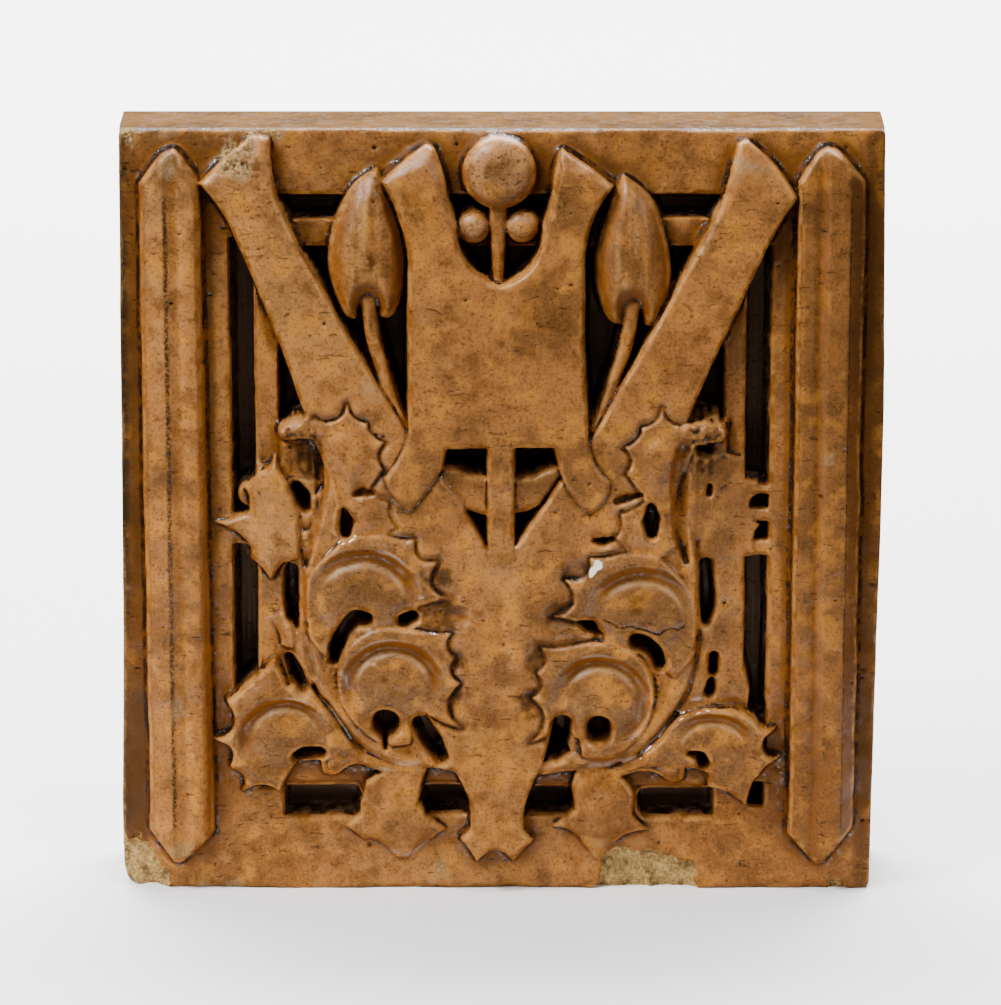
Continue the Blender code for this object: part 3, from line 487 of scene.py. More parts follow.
print("a path through 3 points is drawn with", len(through(((0, 0), (5, 5), (10, 0)))), "points")


# %% Round stems
CREASE_DEPTH, CREASE_WIDTH = 0.7, 0.2


def lay_stem(points, widths, height, round_fall=2.2, blend=0.8, crease=0):
    """A round stem. height is one number or one for each point, and crease is where a groove runs."""
    where, off, half, place = along(points, widths)
    share = np.clip(np.abs(off) / half, 0, 1)
    level = np.interp(place, range(len(widths)), height) if np.ndim(height) else height
    crown = level - round_fall * (1 - np.sqrt(1 - share ** 2 * 0.98))
    if crease:
        crown = crown - CREASE_DEPTH * np.exp(-((off / half - crease) / CREASE_WIDTH) ** 2)
    lay(where, np.where(np.abs(off) < half, crown, crown + (half - np.abs(off)) * WALL), blend)


print("a crease in a stem is", CREASE_DEPTH, "mm deep")

# %% Flowers
FLANK_FALL, FLANK_REACH = 6.6, 9.5  # the flower's side, steep at the outline
FRONT_FALL, FRONT_REACH = 0.9, 14.0
CUP_DEPTH, CUP_RADIUS, CUP_WIDTH = 1.6, 3.6, 1.5  # the ring round the stem's root
PETAL_EDGE, PETAL_EDGE_WIDTH = 0.5, 1.1  # the two lines where petals overlap
petal, berry = np.zeros_like(face), np.zeros_like(face)
for outline, path, middle in TULIPS:
    lay_stem(path, (6.2, 5.6, 4.4, 2.6), RELIEF - 3.2, 2.0)
    ring = sampled(outline)
    where = window(ring)
    x, z = X[where], Z[where]
    d = inside(ring, x, z)
    petal[where] = np.maximum(petal[where], eased(d, 1.0, 4.0))
    flank = FLANK_FALL * (1 - np.clip(d / FLANK_REACH, 0, 1)) ** 1.9
    front = FRONT_FALL * (1 - np.clip(d / FRONT_REACH, 0, 1))
    from_cup = np.hypot(x - middle[0], (z - middle[1]) * 0.8)
    cup = CUP_DEPTH * np.exp(-((from_cup - CUP_RADIUS) / CUP_WIDTH) ** 2)
    spread = 4.6 - 0.05 * (z - middle[1])
    lines = (np.exp(-((x - middle[0] - side * spread) / PETAL_EDGE_WIDTH) ** 2) for side in (-1, 1))
    facets = PETAL_EDGE * sum(lines)
    swell = TALLEST - 0.3 - flank - front - cup - facets * eased(d, 1.0, 5.0)
    lay(where, np.where(d > 0, swell, TALLEST - 8.0 + d * WALL), 0.4)
print(len(TULIPS), "flowers laid")


# %% [markdown]
# ## Berries in the scoop
# The large berry is flatter than a ball, as if pressed with a thumb, and the two small ones are
# round. A sphere primitive would need a Boolean. Here the radius gives the height: a circle's quarter,
# or a squarer curve where the berry is flat.

# %% Berries
BERRY_RISE = 0.62  # the rise of a berry's round part, in its own radii


def lay_berry(x0, z0, radius, crown, flat):
    """A berry. flat is the power of its curve."""
    where = window([(x0 - radius, z0 - radius), (x0 + radius, z0 + radius)])
    r = np.hypot(X[where] - x0, Z[where] - z0) / radius
    full = np.clip(1 - r ** flat, 0, 1) ** (1 / flat)
    low = crown - radius * BERRY_RISE
    berry[where] = np.maximum(berry[where], 1 - eased(r, 0.85, 1.0))
    lay(where, np.where(r < 1, low + radius * BERRY_RISE * full, low - (r - 1) * radius * WALL), 0.4)


# (x, z, radius, height of the crown, how flat it is, where 2 is round)
BERRIES = ((-0.6, 297.5, 14.9, 10.4, 2.7), (-11.2, 275.2, 6.6, 6.6, 2.0), (8.3, 275.6, 6.7, 6.6, 2.0))
lay_stem(((-1.2, 284.0), (-1.4, 268.0), (-1.2, 251.0)), (6.6, 5.4, 3.6), RELIEF - 3.4, 2.0)
for berry_shape in BERRIES:
    lay_berry(*berry_shape)
print(len(BERRIES), "berries laid")

# %% [markdown]
# ## The leaves
# Thistle-like leaves with pointed teeth roll over a scroll of stems. Three on each half are rolled
# into a dome with a groove round its upper side. The others lie flat with a hollow between veins.
# The right half follows the left one, turned over, each leaf shifted as the hand-cut mould has it.

# %% Rolled leaves, drawn
# (name, outline, the dome's centre and half sizes, the groove's arc on the left and on the right in
# degrees, how far it lies under the highest leaf, its shift on the right half)
DOMED_LEAVES = (
    ("upper", (
        (-35.0, 149.5, -0.6), (-46.0, 150.5, 0.8), (-62.0, 150.0, 1.2), (-78.0, 132.0, 0.5),
        (-78.0, 110.0, 0.5), (-70.0, 99.2, 0.0), (-56.0, 109.4, 0.4), (-41.5, 112.0, 0.0),
        (-41.0, 118.0, 0.8), (-33.0, 121.6, -0.8), (-20.0, 124.5, -6.5), (-25.0, 140.5, -4.6),
    ), (-56.0, 122.5), (18.0, 16.6), (10.0, 146.0), (-5.0, 140.0), 0.7, (0.5, -7.6)),
    ("lower", (
        (-20.0, 110.5, -0.6), (-34.0, 111.5, 0.6), (-48.0, 112.0, 1.4), (-62.0, 104.5, 1.6),
        (-66.0, 88.0, 1.8), (-57.0, 70.0, 1.4), (-44.0, 63.0, 0.0), (-37.0, 64.0, 0.0),
        (-36.0, 71.0, 0.8), (-30.5, 76.5, 0.4), (-16.0, 70.5, -5.4), (-16.5, 89.5, -3.0),
        (-18.5, 100.0, -2.8),
    ), (-44.0, 87.0), (15.6, 14.6), (0.0, 200.0), (-60.0, 140.0), 0.0, (-4.0, -6.0)),
    ("outer", (
        (-92.0, 98.5, -0.6), (-111.5, 81.0, -6.2), (-117.0, 64.8, -4.6), (-110.5, 53.5, -3.4),
        (-105.5, 42.5, -3.6), (-89.5, 43.0, -1.0), (-83.0, 55.5, 0.0), (-72.0, 56.5, 0.0),
        (-60.0, 62.0, 0.0), (-67.5, 74.0, 0.0), (-77.5, 87.0, -0.4), (-87.0, 87.5, 0.0),
    ), (-88.0, 66.0), (13.8, 12.2), (20.0, 205.0), (0.0, 150.0), 1.1, (0.0, -5.6)),
)
print("rolled leaves:", ", ".join(leaf[0] for leaf in DOMED_LEAVES))

# %% Flat leaves, drawn
# (name, outline, crown, how far it lies under the highest leaf, its shift on the right half)
FLAT_LEAVES = (
    ("crest", (
        (-61.5, 205.0, -1.8), (-68.0, 197.5, -1.0), (-74.5, 199.0, 0.6), (-76.0, 192.0, 0.4),
        (-69.0, 176.0, 0.0), (-65.5, 161.0, 0.4), (-56.0, 163.0, -0.6), (-47.5, 178.0, -2.6),
        (-46.5, 189.0, -1.8), (-53.5, 197.0, -2.2),
    ), (-61.5, 184.0), 0.5, (3.0, -1.6)),
    ("heart", (
        (-56.5, 172.0, 0.6), (-66.0, 166.0, 0.4), (-68.0, 152.0, 0.0), (-60.0, 146.0, 0.0),
        (-48.0, 148.5, -0.8), (-42.5, 154.5, -1.8), (-45.0, 164.5, -1.0),
    ), (-56.0, 158.5), 1.5, (3.0, -5.0)),
    ("curl", (
        (-58.0, 61.0, 0.0), (-68.0, 61.5, 0.4), (-73.4, 58.0, 0.2), (-72.5, 51.0, 1.0),
        (-66.0, 50.8, -0.6), (-59.0, 54.8, 0.0), (-53.0, 55.0, 0.0),
    ), (-66.5, 56.5), 1.8, (1.5, -3.0)),
)
print("flat leaves:", ", ".join(leaf[0] for leaf in FLAT_LEAVES))

# %% Stems and single leaves, drawn
SCROLL = (
    (-80.0, 193.0), (-72.6, 191.5), (-68.6, 182.0), (-68.0, 168.0), (-71.5, 156.0), (-75.5, 146.0),
    (-77.0, 132.0), (-77.0, 117.0), (-75.5, 104.0), (-73.0, 94.0), (-69.0, 84.0), (-64.0, 75.5),
    (-57.0, 67.5), (-48.0, 61.5), (-38.0, 58.0), (-28.0, 56.5), (-17.5, 54.0),
)
SCROLL_WIDTHS = (5.0, 6.5, 7.0, 7.5, 8.0, 8.0, 8.5, 8.5, 9.0, 9.0, 9.5, 9.5, 9.5, 9.0, 8.5, 7.5, 6.0)
LOWER_STEM = ((-36.0, 52.0), (-47.0, 53.5), (-57.0, 57.2), (-66.0, 62.0), (-74.0, 70.0))
SCOOP = (
    (-88.8, 191.0, 0.0), (-88.8, 176.0, 0.0), (-84.0, 168.0, 0.0), (-74.0, 168.0, 0.0), (-69.0, 174.0, 0.0),
    (-69.0, 191.0, 0.0),
)
SIDE_LEAF = (
    (-91.0, 182.5, -1.6), (-97.5, 176.0, -0.5), (-103.5, 169.5, -1.4), (-102.0, 159.0, -0.6),
    (-117.0, 155.0, -1.6), (-102.5, 146.5, -0.6), (-101.5, 140.0, -0.8), (-93.0, 131.5, -0.4),
    (-88.0, 139.0, 0.0), (-81.5, 141.0, 0.5), (-80.5, 156.0, 0.0), (-83.0, 166.0, 0.0),
    (-87.0, 174.0, -0.4),
)
RIGHT_OUTER = (
    (88.0, 78.4, 0.8), (78.5, 77.2, 0.8), (71.0, 73.6, 0.5), (65.0, 67.0, 0.0), (57.0, 60.0, 0.0),
    (60.0, 54.2, 0.4), (68.0, 56.0, -0.4), (71.5, 53.0, 0.0), (78.5, 53.0, 0.0), (84.5, 50.5, 0.0),
    (84.5, 44.8, -0.3), (91.0, 43.4, -0.6), (95.5, 40.5, -0.5), (99.5, 37.0, 0.0), (102.0, 46.0, -0.5),
    (105.0, 50.5, -1.2), (113.5, 57.0, -1.4), (106.5, 61.0, -0.4), (107.0, 66.0, -0.4),
    (111.5, 69.0, -0.4), (105.0, 70.2, 0.3), (101.5, 74.5, 0.5), (96.0, 77.4, 0.3),
)
print("the scroll runs through", len(SCROLL), "points")


# %% Turning over for the right half
def mirrored(outline, shift=(0.0, 0.0)):
    """An outline turned over for the right half, still counter-clockwise."""
    turned = []
    for k in range(len(outline) - 1, -1, -1):
        turned.append((-outline[k][0] + shift[0], outline[k][1] + shift[1], outline[k - 1][2]))
    return tuple(turned)


def flipped(path, shift=(0.0, 0.0)):
    """A path turned over for the right half."""
    return tuple((-x + shift[0], z + shift[1]) for x, z in path)


print("the scroll's end, left and right:", SCROLL[0], flipped(SCROLL, (0.0, -1.5))[0])

# %% [markdown]
# ## Clay left in the slots
# Where the mould cutter left a sliver of plaster out, clay stands across a slot, from a leaf's tooth to
# the band beside it. Each one is a short, wide, low stem.

# %% Bridges over the long slots
# (path, width)
BRIDGE_HEIGHT, BRIDGE_FALL = -0.4, 1.2
BRIDGES = (
    (((-109.5, 152.0), (-97.0, 151.0)), 13.0), (((-101.0, 166.0), (-97.0, 165.0)), 11.0),
    (((96.0, 167.0), (109.0, 168.0)), 4.0),
    (((96.0, 158.0), (109.0, 157.0)), 5.5), (((96.0, 143.0), (109.0, 144.0)), 7.0),
    (((97.5, 66.0), (101.0, 61.0)), 4.0),
)
for path, width in BRIDGES:
    lay_stem(path, (width, width), BRIDGE_HEIGHT, BRIDGE_FALL)
print(len(BRIDGES), "bridges laid")

# %% [markdown]
# ## Bedding the leaves
# A leaf pressed with its ground leaves a soft valley round it. Before any leaf is laid, the straps
# slope down beside all of them, and what lies right under a leaf is lowered so that the leaf's own
# hollows aren't filled by the strap below.


# %% Leaves on both halves
def leaf_field(outline):
    """Where a leaf lies on the sheet, and the distance in from its outline."""
    ring = sampled(outline, 0.7)
    where = window(ring)
    return where, inside(ring, X[where], Z[where])


leaves = [(RIGHT_OUTER, (86.0, 60.0), (13.8, 12.2), (25.0, 165.0), 1.1)]
for name, outline, centre, half, arc, right_arc, drop, shift in DOMED_LEAVES:
    leaves.append((outline, centre, half, arc, drop))
    if name == "outer":
        continue
    turned = (-centre[0] + shift[0], centre[1] + shift[1])
    leaves.append((mirrored(outline, shift), turned, half, right_arc, drop))
for name, outline, crown, drop, shift in FLAT_LEAVES:
    leaves.append((outline, crown, None, None, drop))
    leaves.append((mirrored(outline, shift), (-crown[0] + shift[0], crown[1] + shift[1]), None, None, drop))
fields = [leaf_field(leaf[0]) for leaf in leaves]
bed(fields)
UNDER_LEAVES = 4.5  # nothing under a leaf stands higher than this
for where, d in fields:
    face[where] = np.where(d > 0.4, np.minimum(face[where], UNDER_LEAVES), face[where])
print(len(leaves), "leaves bedded")

# %% [markdown]
# ## Webs
# Between the stems, the leaves and the lattice the real clay isn't cut through: it slopes from the low
# bands up to the stems. Each web is an outline with a height that climbs from a start to an end.

# %% Webs between stems, leaves and lattice
# (outline, where the slope starts, where it ends), the last two as (x, z, height)
WEBS = (
    (((-98.8, 152.0, 0), (-98.8, 86.0, 0), (-78.0, 84.0, 0), (-72.0, 100.0, 0), (-74.0, 152.0, 0)),
     (-91.0, 0.0, 0.0), (-79.0, 0.0, 6.6)),
    (((-98.8, 180.0, 0), (-98.8, 148.0, 0), (-74.0, 148.0, 0), (-72.0, 172.0, 0), (-88.0, 174.0, 0)),
     (-97.0, 0.0, 1.0), (-84.0, 0.0, 4.2)),
    (((-64.0, 178.0, 0), (-76.0, 165.0, 0), (-77.0, 120.0, 0), (-73.0, 92.0, 0), (-64.0, 72.0, 0),
      (-50.0, 58.0, 0), (-30.0, 57.0, 0), (-24.0, 70.0, 0), (-24.0, 100.0, 0), (-32.0, 128.0, 0),
      (-36.0, 150.0, 0), (-44.0, 178.0, 0)), (-77.0, 0.0, 6.4), (-30.0, 0.0, 5.6)),
    (((-92.0, 59.0, 0), (-92.0, 45.6, 0), (-15.0, 45.6, 0), (-19.0, 59.0, 0)),
     (0.0, 0.0, -0.2), (1.0, 0.0, -0.2)),
    (((74.0, 148.0, 0), (72.0, 100.0, 0), (76.0, 82.0, 0), (98.6, 82.0, 0), (98.6, 148.0, 0)),
     (98.5, 0.0, 0.6), (79.5, 0.0, 5.6)),
    (((76.0, 184.0, 0), (76.0, 140.0, 0), (98.0, 139.5, 0.0), (103.6, 141.0, -0.8), (102.4, 149.0, -0.5),
      (104.8, 153.0, -0.8), (101.5, 157.5, -0.8), (101.0, 164.0, -0.5), (107.0, 167.5, -0.8),
      (103.5, 171.5, 0.0), (98.6, 172.0, 0.0), (98.0, 181.0, -0.5), (90.0, 184.0, 0.0)),
     (98.5, 0.0, 0.6), (79.5, 0.0, 5.6)),
    (((44.0, 174.0, 0), (36.0, 150.0, 0), (30.0, 122.0, 0), (24.0, 98.0, 0), (22.0, 70.0, 0),
      (30.0, 56.0, 0), (52.0, 55.0, 0), (66.0, 66.0, 0), (74.0, 88.0, 0), (77.0, 115.0, 0),
      (78.5, 160.0, 0), (79.0, 186.0, 0), (64.0, 186.0, 0)), (30.0, 0.0, 5.6), (77.0, 0.0, 6.4)),
    (((12.0, 58.0, 0), (14.0, 44.2, 0), (90.0, 44.2, 0), (90.0, 58.0, 0)),
     (0.0, 0.0, -0.2), (1.0, 0.0, -0.2)),
    (((76.0, 97.0, 0), (68.0, 70.0, 0), (100.0, 70.0, 0), (101.5, 84.0, 0), (98.6, 97.0, 0)),
     (98.5, 0.0, 0.6), (79.5, 0.0, 5.6)),
    (((74.0, 204.0, 0), (74.0, 190.0, 0), (87.5, 190.0, 0), (87.5, 202.0, 0)),
     (80.0, 204.0, -9.0), (80.0, 196.0, 5.6)),
    (((-96.8, 115.0, -0.8), (-91.0, 110.5, -0.6), (-89.4, 103.5, 0.0), (-84.0, 103.0, 0.0),
      (-84.0, 116.5, 0.0), (-89.5, 118.0, -0.8)), (-95.0, 0.0, 1.1), (-82.0, 0.0, 6.4)),
)
for outline, start, end in WEBS:
    lay_web(outline, start, end)
print(len(WEBS), "webs laid")

# %% Foot leaves
# They lie flush in the field below and rise to the stems above, each with a swelling in its middle:
# (outline, start, end, the swelling's centre and half width).
FEET = (
    (((-44.0, 53.0, 0.8), (-55.0, 47.0, 0.0), (-56.4, 40.0, 0.6), (-57.6, 33.0, 0.0), (-64.0, 27.0, -0.6),
      (-57.0, 21.5, -0.6), (-49.5, 20.4, -0.5), (-43.5, 13.8, 0.5), (-38.0, 13.6, -0.5),
      (-33.0, 19.0, -0.5), (-27.5, 22.0, -0.5), (-22.0, 25.5, 0.0), (-31.0, 32.0, 0.6),
      (-34.0, 38.0, 0.6), (-33.0, 45.0, 0.0), (-30.0, 54.0, 0.0)),
     (-44.0, 14.0, 1.8), (-44.0, 50.0, 6.6), (-40.0, 31.0, 11.0)),
    (((42.0, 53.0, 0.8), (30.0, 51.0, 0.0), (28.8, 44.0, 0.0), (30.5, 34.0, 0.0), (20.5, 27.0, -0.6),
      (29.5, 24.4, -0.5), (33.0, 20.0, -0.4), (37.5, 14.0, 0.5), (41.0, 13.0, 0.0), (44.5, 17.5, -0.5),
      (50.5, 23.5, -0.8), (61.0, 25.5, -0.8), (53.5, 33.0, 0.4), (54.0, 42.0, 0.8), (48.0, 50.0, 0.6)),
     (41.0, 14.0, 1.8), (41.0, 48.0, 7.0), (41.0, 37.0, 12.5)),
)
FOOT_SWELL = 1.7
for outline, start, end, (crown_x, crown_z, reach) in FEET:
    lay_web(outline, start, end, 0.8, 0.5)
    swelling = np.clip(1 - ((X - crown_x) / reach) ** 2 - ((Z - crown_z) / (reach * 1.2)) ** 2, 0, 1)
    face += FOOT_SWELL * np.sqrt(swelling) * (face > 0.5)
print(len(FEET), "foot leaves laid")

# %% [markdown]
# ## Hollows between the teeth
# The scallops of the rolled leaves bite into the pendant, and each bite runs out in a shallow hollow.
# A groove is a path whose bottom is round, taken off the sheet.


# %% Tooth hollows
def groove(points, widths, depth):
    """A round-bottomed groove along a path."""
    where, off, half, place = along(points, widths, 2.0)
    face[where] -= depth * np.clip(1 - (off / half) ** 2, 0, 1) ** 0.8


# (path, widths, depth)
TOOTH_HOLLOWS = (
    (((-26.0, 137.0), (-24.5, 129.0)), (7.0, 8.0), 1.3),
    (((-31.0, 117.0), (-24.0, 118.0), (-16.0, 117.5)), (9.0, 13.0, 9.0), 1.9),
    (((-18.0, 106.0), (-17.0, 97.0)), (5.0, 5.0), 1.0),
    (((-18.5, 87.0), (-18.0, 79.5)), (7.0, 7.0), 1.3),
    (((30.5, 138.5), (27.5, 133.0)), (7.0, 7.0), 1.3),
    (((28.0, 119.5), (21.5, 117.0)), (10.0, 11.0), 1.7),
    (((14.5, 103.5), (13.0, 98.5)), (9.0, 8.0), 1.3),
    (((12.5, 84.5), (11.5, 79.0)), (7.0, 7.0), 1.3),
)
for points, widths, depth in TOOTH_HOLLOWS:
    groove(points, widths, depth)
print(len(TOOTH_HOLLOWS), "hollows carved")

# %% [markdown]
# ## Stems, scoops and buds
# On each half a scroll of a stem runs from a bud down round the leaves, and a second stem joins it
# below. Under the bud is a ribbed scoop. The stems follow smooth curves, the scroll with a crease.

# %% Stems and scoops
STEM_HEIGHT = RELIEF - 1.2
CREASE = 0.45  # how far off a stem's middle its crease runs, in half widths
RIB_GAP = 4.0
BUDS = (((-86.0, 193.0), (-80.0, 194.8), (-73.0, 194.2)), ((87.0, 192.6), (81.0, 192.6), (75.0, 193.0)))
for side in (-1, 1):
    turn = (lambda path, shift: path) if side < 0 else flipped
    scoop = SCOOP if side < 0 else mirrored(SCOOP, (2.0, 0.0))
    lay_strap(scoop, 2.4, arris=1.5)
    lay_stem(turn(SCROLL, (0.0, -1.5)), SCROLL_WIDTHS, STEM_HEIGHT, 3.0, crease=CREASE * side)
    lay_stem(turn(LOWER_STEM, (0.0, -2.0)), (5.0, 5.0, 6.0, 10.0, 16.0), STEM_HEIGHT - 0.4, 2.6)
    for shift in (0.0, RIB_GAP, 2 * RIB_GAP):
        groove(((side * (76.4 + shift), 188.0), (side * (76.6 + shift), 176.0)), (2.8, 1.6), 0.9)
    lay_stem(BUDS[0 if side < 0 else 1], (7.0, 9.5, 8.5), RELIEF + 0.9, 3.0)
print("stems laid")


# %% [markdown]
# ## How a leaf is shaped
# A rolled leaf is a dome with a groove round its upper side and a rim that droops outwards. A flat
# leaf has a rolled edge and a hollow round its swelling middle. Both have a low ridge behind each
# tooth, where its vein runs.


# %% Leaf shapes
def domed(x, z, centre, half, arc, rim):
    """A rolled leaf: a dome, a groove over the given arc (degrees), and a rim that droops outwards; also the
    thin line on the dome's upper edge where a highlight is painted.
    """
    dx, dz = (x - centre[0]) / half[0], (z - centre[1]) / half[1]
    e = np.hypot(dx, dz)
    middle, spread = (arc[0] + arc[1]) / 2, (arc[1] - arc[0]) / 2
    off = np.abs((np.degrees(np.arctan2(dz, dx)) - middle + 180) % 360 - 180)
    grooved = 1 - eased(off, spread - 22, spread + 18)
    dome = rim - 0.7 - 1.3 * np.clip(e, 0, 1.1) ** 3
    crest = rim - 1.1 * np.clip((e - 1.42) / 0.6, 0, 1) ** 1.2
    climb = eased(e, 0.95, 1.42)
    trough = np.exp(-((e - 1.17) / 0.17) ** 2)
    # The thin line on the dome's upper edge that takes a painted highlight.
    line = grooved * np.exp(-((e - 0.97) / 0.035) ** 2) * eased(dz, 0.1, 0.6)
    return dome * (1 - climb) + crest * climb - 2.9 * grooved * trough, line


def hollowed(d, x, z, crown, top):
    """A flat leaf: a rolled edge and a hollow round its swelling middle."""
    reach = max(float(d.max()), 2.0)
    middle = np.exp(-(np.hypot(x - crown[0], z - crown[1]) / (reach * 0.75)) ** 2)
    hollow = 1.9 * np.exp(-((d - reach * 0.45) / (reach * 0.28)) ** 2)
    return top - 0.5 - hollow * (1 - middle) + 0.2 * middle


def veins(outline, x, z, middle):
    """A low ridge from each tooth tip towards the leaf's middle."""
    ridge = np.zeros(x.shape)
    for k, (tx, tz, bow) in enumerate(outline):
        if bow > -0.5 or outline[k - 1][2] > -0.5:
            continue
        ex, ez = (middle[0] - tx) * 0.5, (middle[1] - tz) * 0.5
        t = ((x - tx) * ex + (z - tz) * ez) / (ex * ex + ez * ez)
        away = np.hypot(x - tx - np.clip(t, 0, 1) * ex, z - tz - np.clip(t, 0, 1) * ez)
        ridge = np.maximum(ridge, (1 - eased(t, 0.3, 1.0)) * np.exp(-(away / 1.2) ** 2))
    return ridge


crown_height = float(domed(np.zeros(1), np.zeros(1), (0, 0), (1, 1), (0, 180), 10.0)[0][0])
print("a rolled leaf whose rim stands at 10 mm has its crown at", round(crown_height, 2), "mm")

# %% Leaves
# The left side leaf is a plain upright swelling without a groove.
lay_web(SIDE_LEAF, (-103.0, 0.0, 3.4), (-90.0, 0.0, RELIEF - 1.4), 2.0, 1.0)
within, painted_ring_highlight = np.zeros_like(face), np.zeros_like(face)
for (outline, middle, half, arc, drop), (where, d) in zip(leaves, fields):
    x, z = X[where], Z[where]
    top = TALLEST - 0.15 - drop
    shape, line = domed(x, z, middle, half, arc, top) if half else (hollowed(d, x, z, middle, top), 0)
    shape = shape - 0.7 * (1 - veins(outline, x, z, middle)) * (1 - eased(d, 2.0, 5.0))
    t = np.clip(d / 0.8, 0, 1)
    shape = shape - 0.8 * (1 - np.sqrt(1 - (1 - t) ** 2))
    lay(where, np.where(d > 0, shape, shape + d * WALL), 1.2 if half else 0.6)
    beside[where] = np.where(d > 0.3, 0, beside[where])
    within[where] = np.maximum(within[where], eased(d, 1.0, 2.5) if half else 0)
    painted_ring_highlight[where] = np.maximum(painted_ring_highlight[where], line * (d > 1.0))
print("leaves laid, highest", round(float(face.max()), 2), "mm")

# %% [markdown]
# ## Eyes, grooves and tool marks
# The dark eyes of the leaves are pierced with a tool that leaves a soft, funnel-shaped mouth, and
# the grooves beside the stems are drawn with a loop. The paths are read off the photograph.

# %% Eyes
# (path, widths), and for an eye that doesn't go through, the height of its floor
EYES = (
    (((-55.0, 115.6), (-59.0, 116.0), (-63.5, 110.5), (-66.4, 104.5), (-67.6, 99.0)),
     (7.0, 7.6, 6.6, 7.4, 5.0)),
    (((-47.0, 72.6), (-47.0, 71.4)), (12.0, 12.0)),
    (((-47.4, 66.0), (-47.2, 61.6)), (4.0, 2.0)),
    (((-83.0, 58.2), (-79.0, 59.6), (-73.6, 59.4)), (5.0, 6.0, 5.4)),
    (((-63.4, 161.0), (-62.2, 156.0), (-62.6, 151.6)), (2.6, 6.6, 5.0), -1.5),
    (((-82.6, 169.4), (-80.0, 165.0), (-78.6, 161.0)), (5.6, 7.4, 4.4)),
    (((-39.4, 114.8), (-36.0, 116.6)), (6.0, 5.8)),
    (((-84.8, 135.0), (-84.8, 124.0), (-84.4, 116.0), (-83.0, 111.6)), (6.6, 7.0, 6.4, 3.0)),
    (((-86.0, 98.0), (-83.4, 92.4), (-80.6, 86.0)), (4.8, 7.0, 5.0)),
    (((-32.6, 71.4), (-28.4, 64.0), (-24.4, 57.6)), (8.4, 8.6, 6.6)),
)
RIGHT_EYES = (
    (((55.0, 106.8), (58.0, 105.8), (62.4, 102.0), (64.6, 96.8)), (7.6, 7.6, 7.0, 5.8)),
    (((39.8, 70.2), (39.8, 68.6)), (11.0, 11.0)),
    (((76.6, 59.4), (81.0, 58.0), (82.4, 54.8)), (2.4, 5.2, 5.8)),
    (((82.6, 138.0), (83.2, 129.0), (83.6, 120.0), (83.2, 113.6)), (6.0, 7.2, 7.0, 4.4)),
    (((86.4, 99.4), (86.2, 93.2)), (4.2, 4.6)),
    (((85.4, 88.8), (84.6, 84.6)), (4.0, 5.0)),
    (((24.6, 71.4), (24.0, 66.0), (22.0, 59.4)), (9.0, 9.0, 7.4)),
    (((83.8, 170.4), (83.6, 167.4)), (2.6, 2.8)),
    (((60.0, 162.0), (60.4, 156.6), (60.6, 151.8)), (4.4, 8.0, 6.0), -1.5),
    (((37.6, 148.8), (41.0, 148.2), (44.6, 149.0)), (2.0, 4.0, 2.0), 0.0),
    (((31.6, 114.8), (36.0, 112.8), (39.6, 109.8)), (2.4, 5.6, 2.0), -1.0),
    (((80.0, 184.8), (83.6, 184.2)), (3.2, 3.0)),
)
FUNNEL, FUNNEL_FALL = 1.3, 2.6


def pierce(points, widths, floor=-12.0):
    """A hole with a soft, rounded mouth a little wider than the hole itself."""
    where, off, half, place = along(points, widths)
    d = half + FUNNEL * 0.6 - np.abs(off)
    mouth = FUNNEL_FALL * np.clip(d / FUNNEL, 0, 1) ** 1.6
    hole = np.maximum(d - FUNNEL, 0) * WALL
    face[where] = np.maximum(face[where] - mouth - hole, np.minimum(face[where], floor))


for points, widths, *floor in EYES + RIGHT_EYES:
    pierce(points, widths, *floor)
print(len(EYES + RIGHT_EYES), "eyes pierced")

# %% Grooves
# (path, widths, depth)
GROOVES = (
    (((-73.4, 187.0), (-72.6, 170.0), (-75.4, 152.0), (-78.6, 138.0)), (4.6, 5.0, 4.6, 2.6), 2.6),
    (((73.4, 185.0), (71.6, 176.0), (71.2, 164.0), (72.0, 152.0), (74.6, 140.0)),
     (7.5, 8.0, 7.6, 6.6, 3.6), 3.2),
    (((-58.8, 167.6), (-55.4, 168.4), (-52.0, 168.0)), (2.4, 5.4, 2.4), 3.4),
    (((46.6, 164.8), (51.0, 166.4), (56.0, 167.6)), (4.0, 5.0, 2.0), 3.4),
    (((-80.0, 140.0), (-81.0, 150.0), (-81.4, 162.0)), (1.6, 2.0, 2.0), 1.4),
    (((-78.5, 113.8), (-78.5, 113.0)), (1.8, 1.8), 2.0),
    (((-79.0, 148.0), (-80.0, 132.0), (-79.8, 118.0), (-78.0, 104.0), (-75.6, 93.0)),
     (2.4, 3.2, 3.4, 3.4, 2.4), 1.4),
    (((79.4, 148.0), (80.4, 130.0), (80.6, 112.0), (79.4, 98.0), (76.4, 86.0), (71.0, 77.0)),
     (2.4, 3.4, 3.4, 3.4, 3.4, 2.4), 1.6),
    (((-79.0, 88.0), (-71.5, 80.0), (-64.0, 70.0), (-57.0, 60.5)), (2.6, 4.4, 4.4, 3.0), 2.0),
    (((56.0, 58.5), (64.0, 66.5), (71.0, 76.0)), (2.6, 4.0, 3.4), 1.9),
)
for points, widths, depth in GROOVES:
    groove(points, widths, depth)
print(len(GROOVES), "grooves drawn")

# %% Tool marks and a crack
# Short marks, one under the other, where the lower leaves meet the stems.
TOOL_MARKS = 6
for k in range(TOOL_MARKS):
    uneven = 0.6 * math.sin(k * 2.4)
    deep = 1.0 + 0.5 * uneven
    left_mark = ((-69.8 + 0.5 * k + uneven, 96.6 - 2.4 * k), (-66.0 + 0.3 * k, 97.6 - 2.5 * k))
    right_mark = ((62.2 - 0.2 * k, 95.2 - 2.2 * k), (66.2 - 0.5 * k - uneven, 94.0 - 2.1 * k))
    groove(left_mark, (0.7, 2.0), deep)
    groove(right_mark, (2.0, 0.7), deep)
